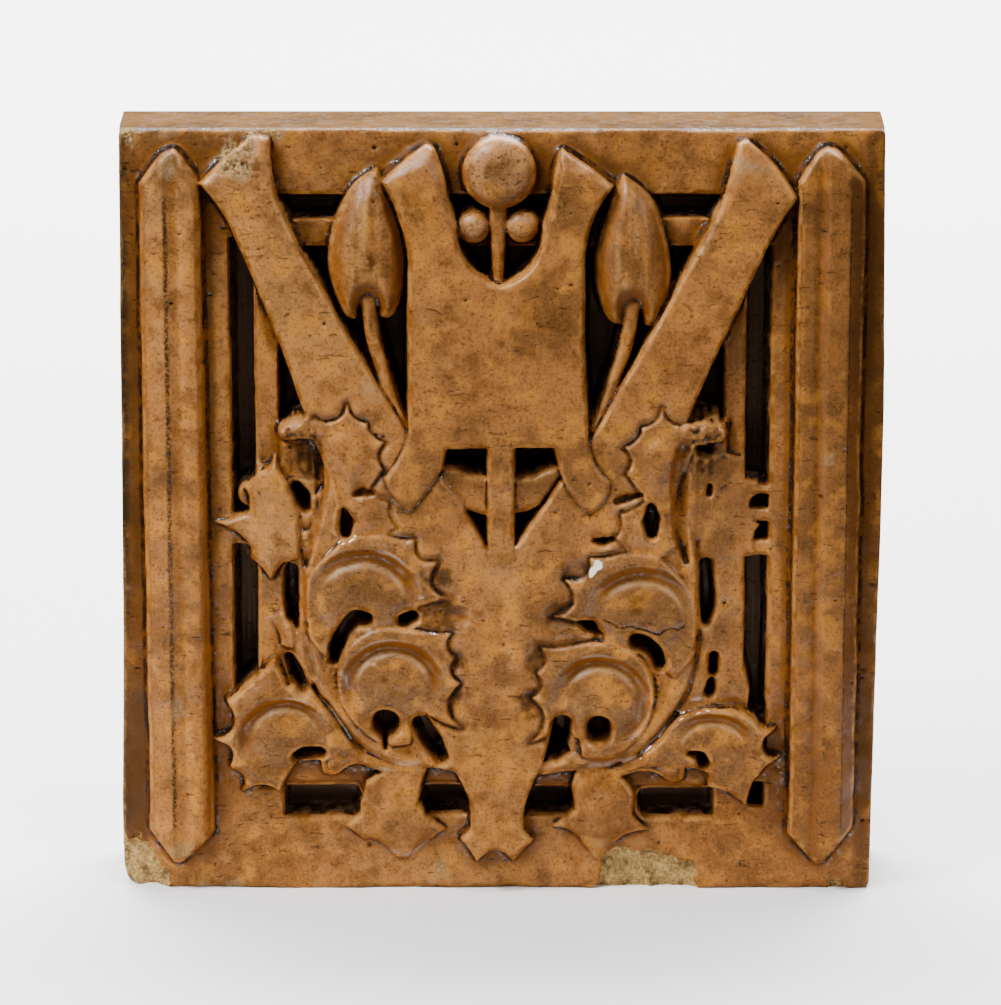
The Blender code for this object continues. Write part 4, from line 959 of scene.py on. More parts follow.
# A drying crack across the upper right leaf.
CRACK = ((41.0, 116.0), (47.0, 113.5), (53.0, 112.5), (60.0, 111.2), (68.0, 112.0), (74.0, 114.0))
CRACK_DEPTH = 0.9
where, off, half, place = along(CRACK, (1.0, 1.6, 1.8, 1.6, 1.8, 1.2))
crack = np.zeros_like(face)
crack[where] = 1 - eased(np.abs(off + 0.5 * waves(1.5, 71)[where]), 0.1, 0.6)
face -= CRACK_DEPTH * crack
print(2 * TOOL_MARKS, "tool marks and a crack", CRACK_DEPTH, "mm deep")


# %% [markdown]
# ## Fired clay is never crisp
# Slip and glaze fill the inner corners, pressing and drying leave slow waves, and handling rounds
# each arris. A small blur rounds everything; adding back part of the difference to a wider blur
# fills inner corners as glaze does.

# %% Softening
SOFTNESS, POOL_WIDTH, POOL_SHARE = 0.42, 1.5, 0.6
face = blur(face, SOFTNESS)
pooled = np.clip(blur(face, POOL_WIDTH) - face, 0, 1.4)
face += POOL_SHARE * pooled
on_top = eased(face, -8.0, -3.0)
face += on_top * (0.26 * waves(9.0, 3) + 0.15 * waves(3.2, 5) + 0.06 * waves(1.1, 8))
print("glaze fills inner corners by up to", round(float(POOL_SHARE * pooled.max()), 2), "mm")

# %% Pits and crusts
# Small pits lie all over, and crusts of dirt and slip on the buds and one strap: (x, z, radius).
PITS = 150
scatter = np.random.default_rng(17)
for _ in range(PITS):
    px, pz = scatter.uniform(-150, 150), scatter.uniform(3, 311)
    radius, depth = scatter.uniform(0.7, 1.5), scatter.uniform(0.25, 0.8)
    where = window([(px, pz)])
    away = np.hypot(X[where] - px, (Z[where] - pz) * scatter.uniform(0.9, 1.8))
    face[where] -= depth * np.exp(-(away / radius) ** 2) * on_top[where]
CRUSTS = ((-81.5, 193.5, 9.0), (83.5, 193.5, 9.0), (-104.0, 303.0, 7.0))
crusty = np.zeros_like(face)
for cx, cz, radius in CRUSTS:
    crusty = np.maximum(crusty, 1 - eased(np.hypot(X - cx, Z - cz), radius * 0.6, radius * 1.2))
face += crusty * on_top * (0.7 * waves(1.4, 41) + 0.55 * waves(0.7, 42))
print(PITS, "pits and", len(CRUSTS), "crusts")

# %% [markdown]
# ## Wear, stains and runs
# These are places on the face, not shapes: where the glaze has worn off or never took, where smoke and dirt
# have stained it, where shade is painted into the hollows between teeth and into the scoops, where it is
# paler, where two white spots lie, and where it ran thick and glossy. Each is a map with a value from 0 to 1
# that the glaze will read, and the spots are ragged at their edge.

# %% Worn and stained places, and painted shade
# (x, z, radius, strength)
WORN = (
    (-104.5, 303.0, 6.5, 1.0), (-99.0, 307.0, 4.0, 0.8), (-148.0, 313.0, 3.0, 1.0),
    (-133.0, 313.5, 2.5, 1.0), (-88.0, 313.5, 3.5, 1.0), (-132.0, 300.0, 3.0, 0.8),
    (-131.0, 78.0, 3.2, 0.9), (-131.0, 17.0, 3.4, 0.9), (-26.0, 6.0, 3.6, 0.8), (-122.0, 1.0, 3.0, 0.9),
    (-110.0, 1.0, 2.4, 0.8), (131.5, 184.0, 1.8, 0.8), (-50.0, 211.0, 4.0, 0.6), (96.0, 300.0, 4.0, 0.5),
    (40.0, 20.0, 2.0, 0.5),
)
# Stains, except the spots in the hollows between the teeth, from (-24, 117.5) to (12, 82), in the two
# shallow eyes at (-62, 157) and (60, 156), and in the scoops at (-80, 184), (-78, 177) and (80, 184), which
# are painted shade.
STAIN_AND_SHADE_SPOTS = (
    (-1.0, 296.0, 8.0, 0.5), (-52.0, 263.0, 3.5, 1.0), (-104.0, 303.0, 9.0, 0.7), (-32.0, 285.0, 7.0, 0.6),
    (70.0, 222.0, 14.0, 0.35), (20.0, 240.0, 18.0, 0.5), (-10.0, 215.0, 12.0, 0.45),
    (-24.0, 117.5, 8.0, 1.0), (-25.0, 133.0, 5.0, 1.0), (-17.5, 101.0, 4.0, 0.9), (-18.0, 83.0, 4.5, 1.0),
    (29.0, 136.0, 5.0, 1.0), (24.0, 118.0, 7.0, 1.0), (13.5, 101.0, 6.0, 1.0), (12.0, 82.0, 5.0, 1.0),
    (56.0, 122.0, 5.0, 0.8),
    (82.0, 194.0, 9.0, 0.7), (-82.0, 194.0, 8.0, 0.5), (131.0, 285.0, 12.0, 0.5), (-131.0, 270.0, 6.0, 0.4),
    (-80.0, 184.0, 8.0, 1.0), (-78.0, 177.0, 7.0, 1.0), (92.0, 178.0, 6.0, 0.5), (-40.0, 30.0, 7.0, 0.5),
    (80.0, 184.0, 6.0, 0.9), (-88.0, 66.0, 12.0, 0.4), (-56.0, 130.0, 9.0, 0.4), (56.0, 124.0, 8.0, 0.5),
    (-62.0, 157.0, 3.5, 0.8), (60.0, 156.0, 4.0, 0.8), (0.0, 76.0, 14.0, 0.3), (5.0, 232.0, 50.0, 0.15),
    (-60.0, 306.0, 26.0, 0.35), (50.0, 306.0, 34.0, 0.35), (-51.0, 262.0, 16.0, 0.3),
    (52.0, 262.0, 16.0, 0.3), (5.0, 62.0, 10.0, 0.3), (8.0, 40.0, 9.0, 0.35), (134.0, 230.0, 14.0, 0.35),
)
# Two small near-white spots on the upper right leaf.
WHITE_SPOT_PLACES = ((36.2, 136.2, 1.3, 1.0), (38.0, 138.6, 1.6, 1.0))  # two white splashes
# Broad paler stretches.
PALE_STRETCH_SPOTS = (
    (-92.0, 245.0, 50.0, 1.0), (-92.0, 158.0, 22.0, 1.0), (-10.0, 14.0, 70.0, 1.0),
    (-120.0, 40.0, 50.0, 0.5), (0.0, 142.0, 18.0, 0.6),
)


def spotted(spots_list, seed):
    """A map with a ragged spot at each place of a list."""
    field = np.zeros_like(face)
    ragged = 0.35 * waves(1.5, seed) + 0.2 * waves(0.7, seed + 1)
    for cx, cz, radius, strength in spots_list:
        where = window([(cx - radius * 1.6, cz - radius * 1.6), (cx + radius * 1.6, cz + radius * 1.6)])
        r = np.hypot(X[where] - cx, Z[where] - cz) / radius + ragged[where]
        field[where] = np.maximum(field[where], strength * (1 - eased(r, 0.45, 1.25)))
    return field


rubbed, stain_and_shade, white_spots = spotted(WORN, 51), spotted(STAIN_AND_SHADE_SPOTS, 53), spotted(WHITE_SPOT_PLACES, 55)
pale_stretches = spotted(PALE_STRETCH_SPOTS, 57)
print("spots:", len(WORN), "worn,", len(STAIN_AND_SHADE_SPOTS), "stained,", len(PALE_STRETCH_SPOTS), "pale_stretches")

# %% Runs of thick, glossy glaze
# (path, widths)
RUNS = (
    (((-31.0, 111.5), (-24.0, 110.0), (-17.5, 110.5)), (2.0, 2.5, 2.0)),
    (((-50.0, 144.5), (-44.0, 143.5), (-39.0, 140.0)), (2.0, 2.4, 2.0)),
    (((-74.0, 120.0), (-70.0, 104.0), (-62.0, 90.0)), (2.0, 2.5, 2.0)),
    (((20.0, 110.5), (26.0, 111.0), (31.0, 113.5)), (2.0, 2.5, 2.0)),
    (((-92.0, 81.0), (-84.0, 83.0), (-78.0, 81.0)), (2.0, 3.0, 2.0)),
    (((-46.0, 17.0), (-38.0, 15.0), (-30.0, 21.0)), (1.6, 2.0, 1.6)),
    (((-50.0, 52.5), (-42.0, 54.5), (-34.0, 56.0)), (2.0, 4.0, 2.0)),
    (((36.0, 54.5), (44.0, 55.0), (54.0, 57.5)), (2.0, 3.0, 2.0)),
    (((-80.0, 89.0), (-72.0, 80.5), (-64.0, 70.0), (-57.0, 60.0)), (4.0, 6.0, 6.0, 4.0)),
    (((-72.0, 143.0), (-64.0, 148.0), (-54.0, 150.0), (-38.0, 149.6)), (4.0, 4.0, 4.0, 3.0)),
    (((-57.0, 104.5), (-50.0, 107.5), (-42.0, 108.3)), (2.0, 3.0, 2.0)),
    (((-36.0, 123.5), (-27.0, 127.0)), (2.5, 2.5)),
    (((46.0, 142.0), (56.0, 141.8), (66.0, 138.6), (71.0, 135.0)), (2.0, 2.5, 2.5, 2.0)),
    (((34.0, 101.0), (43.0, 100.5), (51.0, 96.0)), (2.0, 3.0, 3.0)),
    (((56.0, 58.5), (64.0, 66.0), (72.0, 76.0), (80.0, 83.0)), (4.0, 5.5, 5.0, 4.0)),
    (((72.0, 75.0), (84.0, 78.5), (96.0, 77.5), (101.0, 73.0)), (3.0, 3.0, 3.0, 2.0)),
)
runs = np.zeros_like(face)
for points, widths in RUNS:
    where, off, half, place = along(points, widths, 1.0)
    runs[where] = np.maximum(runs[where], np.clip(1.5 * (1 - np.abs(off) / half), 0, 1))
print(len(RUNS), "glossy runs over", round(float((runs > 0).mean()) * 100, 1), "per cent of the face")

# %% [markdown]
# ## Worn edges and breaks
# The lower left corner and a stretch of the lower edge have spalled off and show the buff body.
# A break is a rough hollow: the face is cut down to a bowl with broken noise on it.

# %% Worn edge
EDGE_ROUND, EDGE_SWAY = 1.1, 0.3
from_sides = np.minimum(true_x + left_half, right_half - true_x)
edge_in = np.minimum(from_sides, np.minimum(true_z, FACE_HEIGHT - true_z))
worn = EDGE_ROUND + EDGE_SWAY * waves(8.0, 12)
t = np.clip(edge_in / worn, 0, 1)
face -= worn * (1 - np.sqrt(1 - (1 - t) ** 2))
print("edge rounded by", worn.min().round(2), "to", worn.max().round(2), "mm")

# %% Breaks
# Each outline runs on past the edge of the face, so that the break does too.
BREAKS = (
    ((-163.0, -8.0, 0.0), (-163.0, 23.0, 0.0), (-149.0, 22.0, 0.8), (-141.0, 14.0, 0.8),
     (-136.5, 6.5, 0.6), (-134.5, -8.0, 0.0)),
    ((38.5, -8.0, 0.0), (84.0, -8.0, 0.0), (80.5, 7.0, 1.0), (72.0, 12.5, 0.8), (58.0, 16.0, 0.6),
     (48.0, 18.3, 0.8), (42.0, 12.5, 0.0)),
    ((131.0, -6.0, 0.0), (145.0, -6.0, 0.0), (141.0, 3.2, 0.6), (135.0, 3.6, 0.0)),
)
BREAK_DEPTHS = (5.0, 3.0, 1.8)
bare = np.zeros_like(face)
ragged = 0.8 * waves(1.6, 21) + 0.5 * waves(0.7, 22)
crumb = 0.45 * waves(2.2, 25) + 0.30 * waves(1.2, 23) + 0.20 * waves(0.6, 24)
for outline, depth in zip(BREAKS, BREAK_DEPTHS):
    ring = sampled(outline)
    where = window(ring)
    d = inside(ring, X[where], Z[where]) + ragged[where]
    mask = eased(d, -0.2, 0.5)
    floor = -depth * (0.45 + 0.55 * eased(d, 0, 9)) + crumb[where] - 1.2 * eased(6 - Z[where], 0, 6)
    broken = face[where] * (1 - mask) + np.minimum(face[where], floor) * mask
    face[where] = np.where(mask > 0, broken, face[where])
    bare[where] = np.maximum(bare[where], mask)
print("broken surface:", round(float((bare > 0.5).mean() * FACE_WIDTH * FACE_HEIGHT / 100), 1), "square cm")

# %% [markdown]
# ## From the sheet to the block
# A grid primitive has one vertex for each number of the sheet, so it takes the heights directly.
# The block's corners are rounded, and a square grid isn't: points near a corner are drawn in to its
# arc. What must not move is what the CAD solid has: the outline, the depth and the bed.

# %% Press the face
# (which side, bed or top, radius, how deep the rounding goes): the broken corner and the worn ones.
CORNERS = ((-1, 0, 9.0, 24.0), (1, 0, 2.5, 8.0), (-1, 1, 3.0, 10.0), (1, 1, 2.2, 8.0))


def side_reach(z):
    """How far the face reaches to the left and to the right at some heights."""
    return [FACE_WIDTH / 2 + np.interp(z / FACE_HEIGHT, *zip(*side)) for side in (LEFT_SIDE, RIGHT_SIDE)]


def redrawn(x, z, factor):
    """Points near the block's corners, moved along their line from the corner's arc centre."""
    for side, end, radius, deep in CORNERS:
        reach = side_reach(z)[0 if side < 0 else 1]
        u = np.clip(side * x - reach + radius, 0, None)
        v = np.clip((z - FACE_HEIGHT if end else -z) + radius, 0, None)
        share = np.where((u > 1e-4) & (v > 1e-4), factor(np.maximum(u, v), np.hypot(u, v), deep), 0)
        x = x + side * u * share
        z = z + (v if end else -v) * share
    return x, z


face = np.minimum(face, TALLEST - 0.02)
pressed_x, pressed_z = redrawn(true_x, true_z, lambda square, arc, deep: square / np.maximum(arc, 1e-4) - 1)
bpy.ops.object.select_all(action="DESELECT")
bpy.ops.mesh.primitive_grid_add(x_subdivisions=COLUMNS - 1, y_subdivisions=ROWS - 1, size=1.0)
block = bpy.context.object
block.name = "pressed_block"
points = np.stack([pressed_x + SHIFT_X, FIELD_Y - face, pressed_z], -1).reshape(-1, 3) * MM
print("grid vertices:", len(block.data.vertices), "wanted:", len(points))
block.data.vertices.foreach_set("co", points.ravel())
block.data.update()

# %% [markdown]
# ## Thin the face
# The grid has three quarters of a million triangles, most of them on flat straps. The Decimate
# modifier keeps those that show. Thinning can throw a point far out of a rough break, so afterwards
# each point is kept between the heights that the sheet has near it.


# %% Reading the sheet at a point
def coordinates_of(mesh):
    """The mesh's points in millimetres."""
    spots = np.empty(len(mesh.vertices) * 3)
    mesh.vertices.foreach_get("co", spots)
    return spots.reshape(-1, 3) / MM


def sheet_value(field, x, z):
    """Values of a sheet map at points of the face."""
    left, right = side_reach(z)
    u = np.clip(np.where(x < 0, x / left, x / right), -1, 1)
    column = (u + 1) / 2 * (COLUMNS - 1)
    row = np.clip(z / FACE_HEIGHT, 0, 1) * (ROWS - 1)
    c0, r0 = np.minimum(column.astype(int), COLUMNS - 2), np.minimum(row.astype(int), ROWS - 2)
    fc, fr = column - c0, row - r0
    return ((field[r0, c0] * (1 - fc) + field[r0, c0 + 1] * fc) * (1 - fr)
            + (field[r0 + 1, c0] * (1 - fc) + field[r0 + 1, c0 + 1] * fc) * fr)


def extreme_near(field, pick):
    """The highest or lowest value of a sheet map within about 3 mm."""
    for axis in (0, 1):
        for shift in (1, 2, 3):
            field = pick(field, pick(np.roll(field, shift, axis), np.roll(field, -shift, axis)))
    return field


block_middle = sheet_value(face, np.zeros(1), np.full(1, FACE_HEIGHT / 2))[0]
print("height in the middle of the face:", round(block_middle, 2), "mm")

# %% Thin it to what shows
KEPT_SHARE = 0.22  # of the triangles, which keeps the block under 200,000 in all
thin = block.modifiers.new("thin", "DECIMATE")
thin.ratio = KEPT_SHARE
bpy.ops.object.modifier_apply(modifier="thin")
place = coordinates_of(block.data)
spot_x, spot_z = place[:, 0] - SHIFT_X, place[:, 2]
lowest = sheet_value(extreme_near(face, np.minimum), spot_x, spot_z)
highest = sheet_value(extreme_near(face, np.maximum), spot_x, spot_z)
place[:, 1] = FIELD_Y - np.clip(FIELD_Y - place[:, 1], lowest - 0.2, highest + 0.1)
block.data.vertices.foreach_set("co", (place * MM).ravel())
border = len(block.data.vertices)
print("face vertices:", border)

# %% [markdown]
# ## Sides and back
# The border of the face is extruded back in rings to make the sides, and closed with one face at the
# back. Each side leans out a little towards the back, as it must to leave the mould.

# %% Extrude the sides
SIDE_FLARE = 2.5
SIDE_RINGS = 8
bpy.ops.object.mode_set(mode="EDIT")
bpy.ops.mesh.select_all(action="SELECT")
bpy.ops.mesh.region_to_loop()
for ring in range(SIDE_RINGS):
    bpy.ops.mesh.extrude_region_move(TRANSFORM_OT_translate={"value": (0, BODY_DEPTH * MM / SIDE_RINGS, 0)})
bpy.ops.mesh.edge_face_add()
bpy.ops.object.mode_set(mode="OBJECT")
print(SIDE_RINGS, "rings of", (len(block.data.vertices) - border) // SIDE_RINGS, "points")

# %% Place the rings
place = coordinates_of(block.data)
sides = place[border:]
ring_size = len(sides) // SIDE_RINGS
share = (np.arange(len(sides)) // ring_size + 1) / SIDE_RINGS
# Each ring starts from where its own point of the border lies, deeper at a break than elsewhere.
border_depth = sides[:, 1] - FIELD_Y - share * BODY_DEPTH
depth = border_depth + (BODY_DEPTH - border_depth) * share
x, z = redrawn(sides[:, 0] - SHIFT_X, sides[:, 2],
               lambda square, arc, deep: (arc / np.maximum(square, 1e-4) - 1) * np.clip(depth / deep, 0, 1))
left, right = side_reach(z)
share = np.where(x < 0, x / left, x / right)
sides[:, 0] = x + share * SIDE_FLARE * depth / BODY_DEPTH + SHIFT_X
sides[:, 1] = FIELD_Y + depth
sides[:, 2] = z
place[:, 2] = np.clip(place[:, 2], 0, FACE_HEIGHT)
block.data.vertices.foreach_set("co", (place * MM).ravel())
block.data.update()
bpy.ops.object.shade_smooth_by_angle(angle=math.radians(48))
block.data.calc_loop_triangles()
print("triangles:", len(block.data.loop_triangles), "box:", place.min(0).round(2), place.max(0).round(2))


# %% [markdown]
# ## What the glaze needs to know
# Glaze runs off arrises and pools in hollows, so its colour follows the shape, and painted shade and painted
# highlights follow it too. The sheet gives these as maps, and each vertex of the thinned block reads its own
# value from them.

# %% Painted shade and dirt
shallow = np.clip(face, -6.0, None)
# Painted shade: the field margins beside the bars, the strip beside the left slot, the straps next to the
# leaves and the right bar are darkened where shade falls. The band along the top is darker too, and the face
# darkens towards the bottom.
margin = np.maximum(eased(-X, 143.0, 145.5), eased(X, 144.0, 146.5))
strip = 0.1 * eased(Z, 90.0, 250.0) * eased(-X, 100.0, 106.0) + 0.25 * eased(Z, 270.0, 300.0)
on_field = 0.85 * (face < 2.0) * (face > -3.0) * np.maximum(margin, strip)
beside_leaves = 0.55 * beside * (face > 3.0)
on_right_bar = (0.4 * eased(X, 116.0, 122.0) + 0.35 * eased(X, 137.5, 139.0)) * (face > 2.0)
at_the_foot = 0.15 * (1 - eased(Z, 10.0, 120.0))
painted_shade = np.clip(on_field + beside_leaves + on_right_bar + at_the_foot, 0, 1)
edge_dirt = (1 - eased(true_x + left_half, 1.4, 4.4)) * (0.4 + 0.6 * eased(Z, 90.0, 160.0))
corner_dirt = (1 - eased(FACE_HEIGHT - true_z, 0.5, 2.5)) * (1 - eased(X, -150.0, -125.0))
edge_dirt = np.maximum(edge_dirt, corner_dirt)
print("share of the face with dirt on it:", round(float((painted_shade > 0.3).mean()), 2))

# %% Surface maps
slope_z, slope_x = np.gradient(blur(shallow, 0.8), STEP)
steep = np.clip((np.hypot(slope_z, slope_x) - 0.2) / 0.9, 0, 1)
valleys = np.clip((blur(shallow, 0.9) - shallow) / 0.4, 0, 1) * (1 - 0.6 * within)
# hollow, shade, under and steep carry painted shade, hollow and steep also thick glaze; painted_upward_sheen
# and painted_ring_highlight carry painted highlights; seam carries dirt and pooled glaze with painted shade.
maps = {
    "seam": np.maximum(valleys, crack),
    "hollow": np.clip((blur(shallow, 2.6) - shallow) / 2.0, 0, 1),
    "shade": np.clip((blur(shallow, 7.0) - shallow) / 4.0, 0, 1),
    "arris": np.clip((face - blur(face, 0.9)) / 0.5, 0, 1),
    "steep": steep * (1 - 0.6 * np.clip(-slope_z / 0.7, 0, 1)),
    "painted_upward_sheen": np.clip(-slope_z / 0.7, 0, 1) * (face > -1.5) * (edge_in > 4),
    "under": np.clip(slope_z / 0.7, 0, 1),
    "low": 1 - eased(Z, 40.0, 150.0),
    "cloud": np.clip(0.5 + 0.14 * waves(13.0, 61) + 0.10 * waves(5.0, 62), 0, 1),
    "fleck": np.clip(0.5 + 0.15 * waves(2.6, 63) + 0.12 * waves(1.2, 64), 0, 1),
    "dome": within, "painted_ring_highlight": painted_ring_highlight, "petal": petal, "berry": berry, "bare": bare,
    "painted_shade": painted_shade, "edge_dirt": edge_dirt, "rubbed": rubbed, "stain_and_shade": stain_and_shade, "pale_stretches": pale_stretches,
    "white_spots": white_spots, "runs": runs,
}
print(len(maps), "maps of the face")

# %% Maps onto the block
spot = coordinates_of(block.data)
spot_x, spot_z, spot_depth = spot[:, 0] - SHIFT_X, spot[:, 2], spot[:, 1] - FIELD_Y
values = {name: sheet_value(field, spot_x, spot_z) for name, field in maps.items()}
on_side = np.arange(len(spot)) >= border
# deep sets where the recesses are painted a paler colour, as painted light.
values["deep"] = np.where(on_side, 0, np.clip((spot_depth - 1.0) / 20.0, 0, 1))
values["side"] = np.where(on_side, 1.0, 0.0)
for name, value in values.items():
    layer = block.data.attributes.new(name, "FLOAT", "POINT")
    layer.data.foreach_set("value", np.asarray(value, np.float32))
print("maps on the block:", ", ".join(values))

# %% [markdown]
# ## Glaze
# An amber lead glaze over buff clay: clear and glossy, darker where it lies thick, with fine
# dark pits and short level crazing. A painted picture could carry all that, but it has one size.
# Here it is worked out from the block's own coordinates and the maps, so it stays sharp and stays
# with the block from any side.

# %% The material
glaze = bpy.data.materials.new("amber_glaze")
glaze.use_nodes = True
nodes, links = glaze.node_tree.nodes, glaze.node_tree.links
shader = nodes["Principled BSDF"]
coordinates = nodes.new("ShaderNodeTexCoord").outputs["Object"]
level = nodes.new("ShaderNodeSeparateXYZ")
links.new(coordinates, level.inputs[0])
print("material:", glaze.name)


# %% Patterns
def attribute(name):
    """One of the block's maps."""
    node = nodes.new("ShaderNodeAttribute")
    node.attribute_name = name
    return node.outputs["Fac"]


def stretched(sx, sy, sz):
    """The block's coordinates, squeezed, so that a pattern read through them is stretched."""
    node = nodes.new("ShaderNodeMapping")
    node.inputs["Scale"].default_value = (sx, sy, sz)
    links.new(coordinates, node.inputs["Vector"])
    return node.outputs["Vector"]


def noise(scale, detail=3.0, vector=None, rough=0.55):
    node = nodes.new("ShaderNodeTexNoise")
    node.inputs["Scale"].default_value = scale
    node.inputs["Detail"].default_value = detail
    node.inputs["Roughness"].default_value = rough
    links.new(vector or coordinates, node.inputs["Vector"])
    return node.outputs["Fac"]


grain = noise(750.0, 4.0, rough=0.85)
blotch = noise(150.0, 5.0, rough=0.7)
cloud, fleck = attribute("cloud"), attribute("fleck")
print("nodes so far:", len(nodes))


# %% Amounts
def ramp(value, low, high, start=0.0, end=1.0):
    """A smooth climb from start to end while a value goes from low to high."""
    node = nodes.new("ShaderNodeMapRange")
    node.interpolation_type = "SMOOTHSTEP"
    for socket, number in (("From Min", low), ("From Max", high), ("To Min", start), ("To Max", end)):
        node.inputs[socket].default_value = number
    links.new(value, node.inputs["Value"])
    return node.outputs["Result"]


def math_node(operation, a, b):
    node = nodes.new("ShaderNodeMath")
    node.operation = operation
    for socket, value in zip(node.inputs, (a, b)):
        if isinstance(value, (int, float)):
            socket.default_value = value
        else:
            links.new(value, socket)
    return node.outputs[0]


def both(a, b):
    """As much as two amounts have together, their product."""
    return math_node("MULTIPLY", a, b)


def either(a, b):
    """The larger of two amounts."""
    return math_node("MAXIMUM", a, b)


patchy = ramp(blotch, 0.40, 0.60)
print("nodes so far:", len(nodes))


# %% Colours
def colour(red, green, blue):
    """A shader colour from the 0 to 255 values of a screen colour."""
    linear = [((v / 255 + 0.055) / 1.055) ** 2.4 if v > 10 else v / 3294 for v in (red, green, blue)]
    return (*linear, 1.0)


def over(base, top, amount):
    """One colour laid over another."""
    node = nodes.new("ShaderNodeMix")
    node.data_type = "RGBA"
    for socket, value in ((node.inputs[6], base), (node.inputs[7], top)):
        if isinstance(value, tuple):
            socket.default_value = value
        else:
            links.new(value, socket)
    links.new(amount, node.inputs["Factor"])
    return node.outputs[2]


AMBER, BROWN = colour(160, 105, 54), colour(112, 72, 34)
tint = over(AMBER, BROWN, ramp(cloud, 0.35, 0.8))
print("amber in the shader:", [round(v, 3) for v in AMBER[:3]])

# %% [markdown]
# ## The colour, layer by layer
# From here on, each line lays one thin layer over what is there: first the broad tints, then mottling, then
# thick glaze and painted shade in hollows, then dirt, painted shade and stains, and last painted highlights
# and the dark seams. The order matters, because a later layer hides the ones below.

# %% Broad tints
# Lower down the glaze is a deeper, redder brown, and some broad stretches are paler.
lower_down = both(attribute("low"), ramp(level.outputs["Z"], 0.005, 0.05, 0.4, 0.65))
tint = over(tint, colour(124, 72, 16), lower_down)
tint = over(tint, colour(196, 138, 76), both(attribute("pale_stretches"), 0.38))
print("broad tints laid")

# %% Petals, berries and rolled leaves
# Petals have upright dark streaks and pale streaks of painted highlight, berries dark freckles, and the
# domes of the leaves a thicker glaze.
streaks = noise(260.0, 3.0, stretched(1.0, 1.0, 0.12))
# The pale streaks on the petals are painted highlight.
tint = over(tint, colour(206, 160, 108), both(attribute("petal"), ramp(streaks, 0.52, 0.68, 0.0, 0.28)))
tint = over(tint, colour(92, 58, 24), both(attribute("petal"), ramp(streaks, 0.50, 0.34, 0.0, 0.5)))
tint = over(tint, colour(176, 136, 98), both(attribute("berry"), 0.35))
freckles = ramp(noise(480.0, 1.0), 0.60, 0.68, 0.0, 0.65)
tint = over(tint, colour(70, 44, 20), both(attribute("berry"), freckles))
tint = over(tint, colour(102, 70, 40), both(attribute("dome"), 0.62))
print("flowers, berries and leaves tinted")

# %% Mottling
tint = over(tint, colour(188, 124, 50), ramp(fleck, 0.50, 0.85, 0.0, 0.7))
tint = over(tint, colour(98, 62, 24), ramp(fleck, 0.45, 0.10, 0.0, 0.6))
tint = over(tint, colour(78, 50, 20), ramp(blotch, 0.53, 0.70, 0.0, 0.6))
tint = over(tint, colour(68, 43, 20), ramp(grain, 0.50, 0.66, 0.0, 0.7))
tint = over(tint, colour(200, 140, 66), ramp(grain, 0.48, 0.32, 0.0, 0.3))
print("mottled")

# %% Thick glaze, painted shade, dirt and stains
# Hollows, the foot of tall forms, undersides and steep walls are darker: in hollows and on steep walls
# partly thicker glaze, and in all of them painted shade where less light falls.
tint = over(tint, colour(122, 72, 22), ramp(attribute("hollow"), 0.05, 0.5, 0.0, 0.75))
tint = over(tint, colour(98, 57, 14), ramp(attribute("shade"), 0.08, 0.6, 0.0, 0.7))
tint = over(tint, colour(84, 48, 12), ramp(attribute("under"), 0.1, 0.9, 0.0, 0.7))
tint = over(tint, colour(118, 64, 14), ramp(attribute("steep"), 0.1, 0.9, 0.0, 0.75))
# Painted shade on the field margins, the strip by the left slot, the straps beside the leaves and the right
# bar, and darker along the top band and towards the foot.
tint = over(tint, colour(72, 43, 16), both(attribute("painted_shade"), ramp(cloud, 0.9, 0.2, 0.5, 1.0)))
# Stains, with painted shade in the tooth hollows, two shallow eyes and the scoops.
tint = over(tint, colour(72, 44, 18), both(attribute("stain_and_shade"), ramp(blotch, 0.36, 0.54, 0.4, 0.95)))
tint = over(tint, colour(38, 30, 18), both(attribute("edge_dirt"), ramp(blotch, 0.38, 0.52, 0.25, 0.9)))
print("dirt laid")

# %% Painted highlights, pale edges and dark seams
# Painted highlights lie along the upper edge of each dome and on upward slopes, and the deep recesses are
# painted a paler grey-brown that stands in for light reaching into them. Glaze runs off the arrises and
# shows the clay. The narrowest seams go black: dirt and pooled glaze, with painted shade.
# Painted highlight along the upper edge of each dome.
tint = over(tint, colour(206, 164, 116), both(attribute("painted_ring_highlight"), 0.5))
# Painted sheen on upward-facing slopes, in patches.
tint = over(tint, colour(208, 156, 96), both(ramp(attribute("painted_upward_sheen"), 0.1, 0.9, 0.0, 0.15), patchy))
tint = over(tint, colour(196, 140, 74), both(ramp(attribute("arris"), 0.2, 0.9, 0.0, 0.4), patchy))
# Painted light: the deep recesses are painted a paler grey-brown.
tint = over(tint, colour(128, 100, 76), ramp(attribute("deep"), 0.04, 0.4, 0.0, 0.97))
# Dark seams: dirt and pooled glaze, with painted shade.
seams = both(ramp(attribute("seam"), 0.25, 0.8), ramp(blotch, 0.37, 0.55, 0.3, 1.0))
tint = over(tint, colour(32, 17, 7), seams)
print("edges and seams drawn")

# %% [markdown]
# ## Crazing, specks and dark lines
# The glaze has cracked in short level dashes: fine noise stretched across the block and read
# through slowly drifting coordinates, so that no two dashes are parallel. Dark specks are where
# iron in the clay bled through. Broken dark lines run up three arrises of the bars.


# %% Crazing, specks and dark lines
def streak_at(x, width):
    """A broken dark line up the face, at x millimetres from its middle."""
    away = math_node("ABSOLUTE", math_node("SUBTRACT", level.outputs["X"], (x + SHIFT_X) * MM), 0)
    return ramp(away, 0.2 * width * MM, width * MM, 1.0, 0.0)


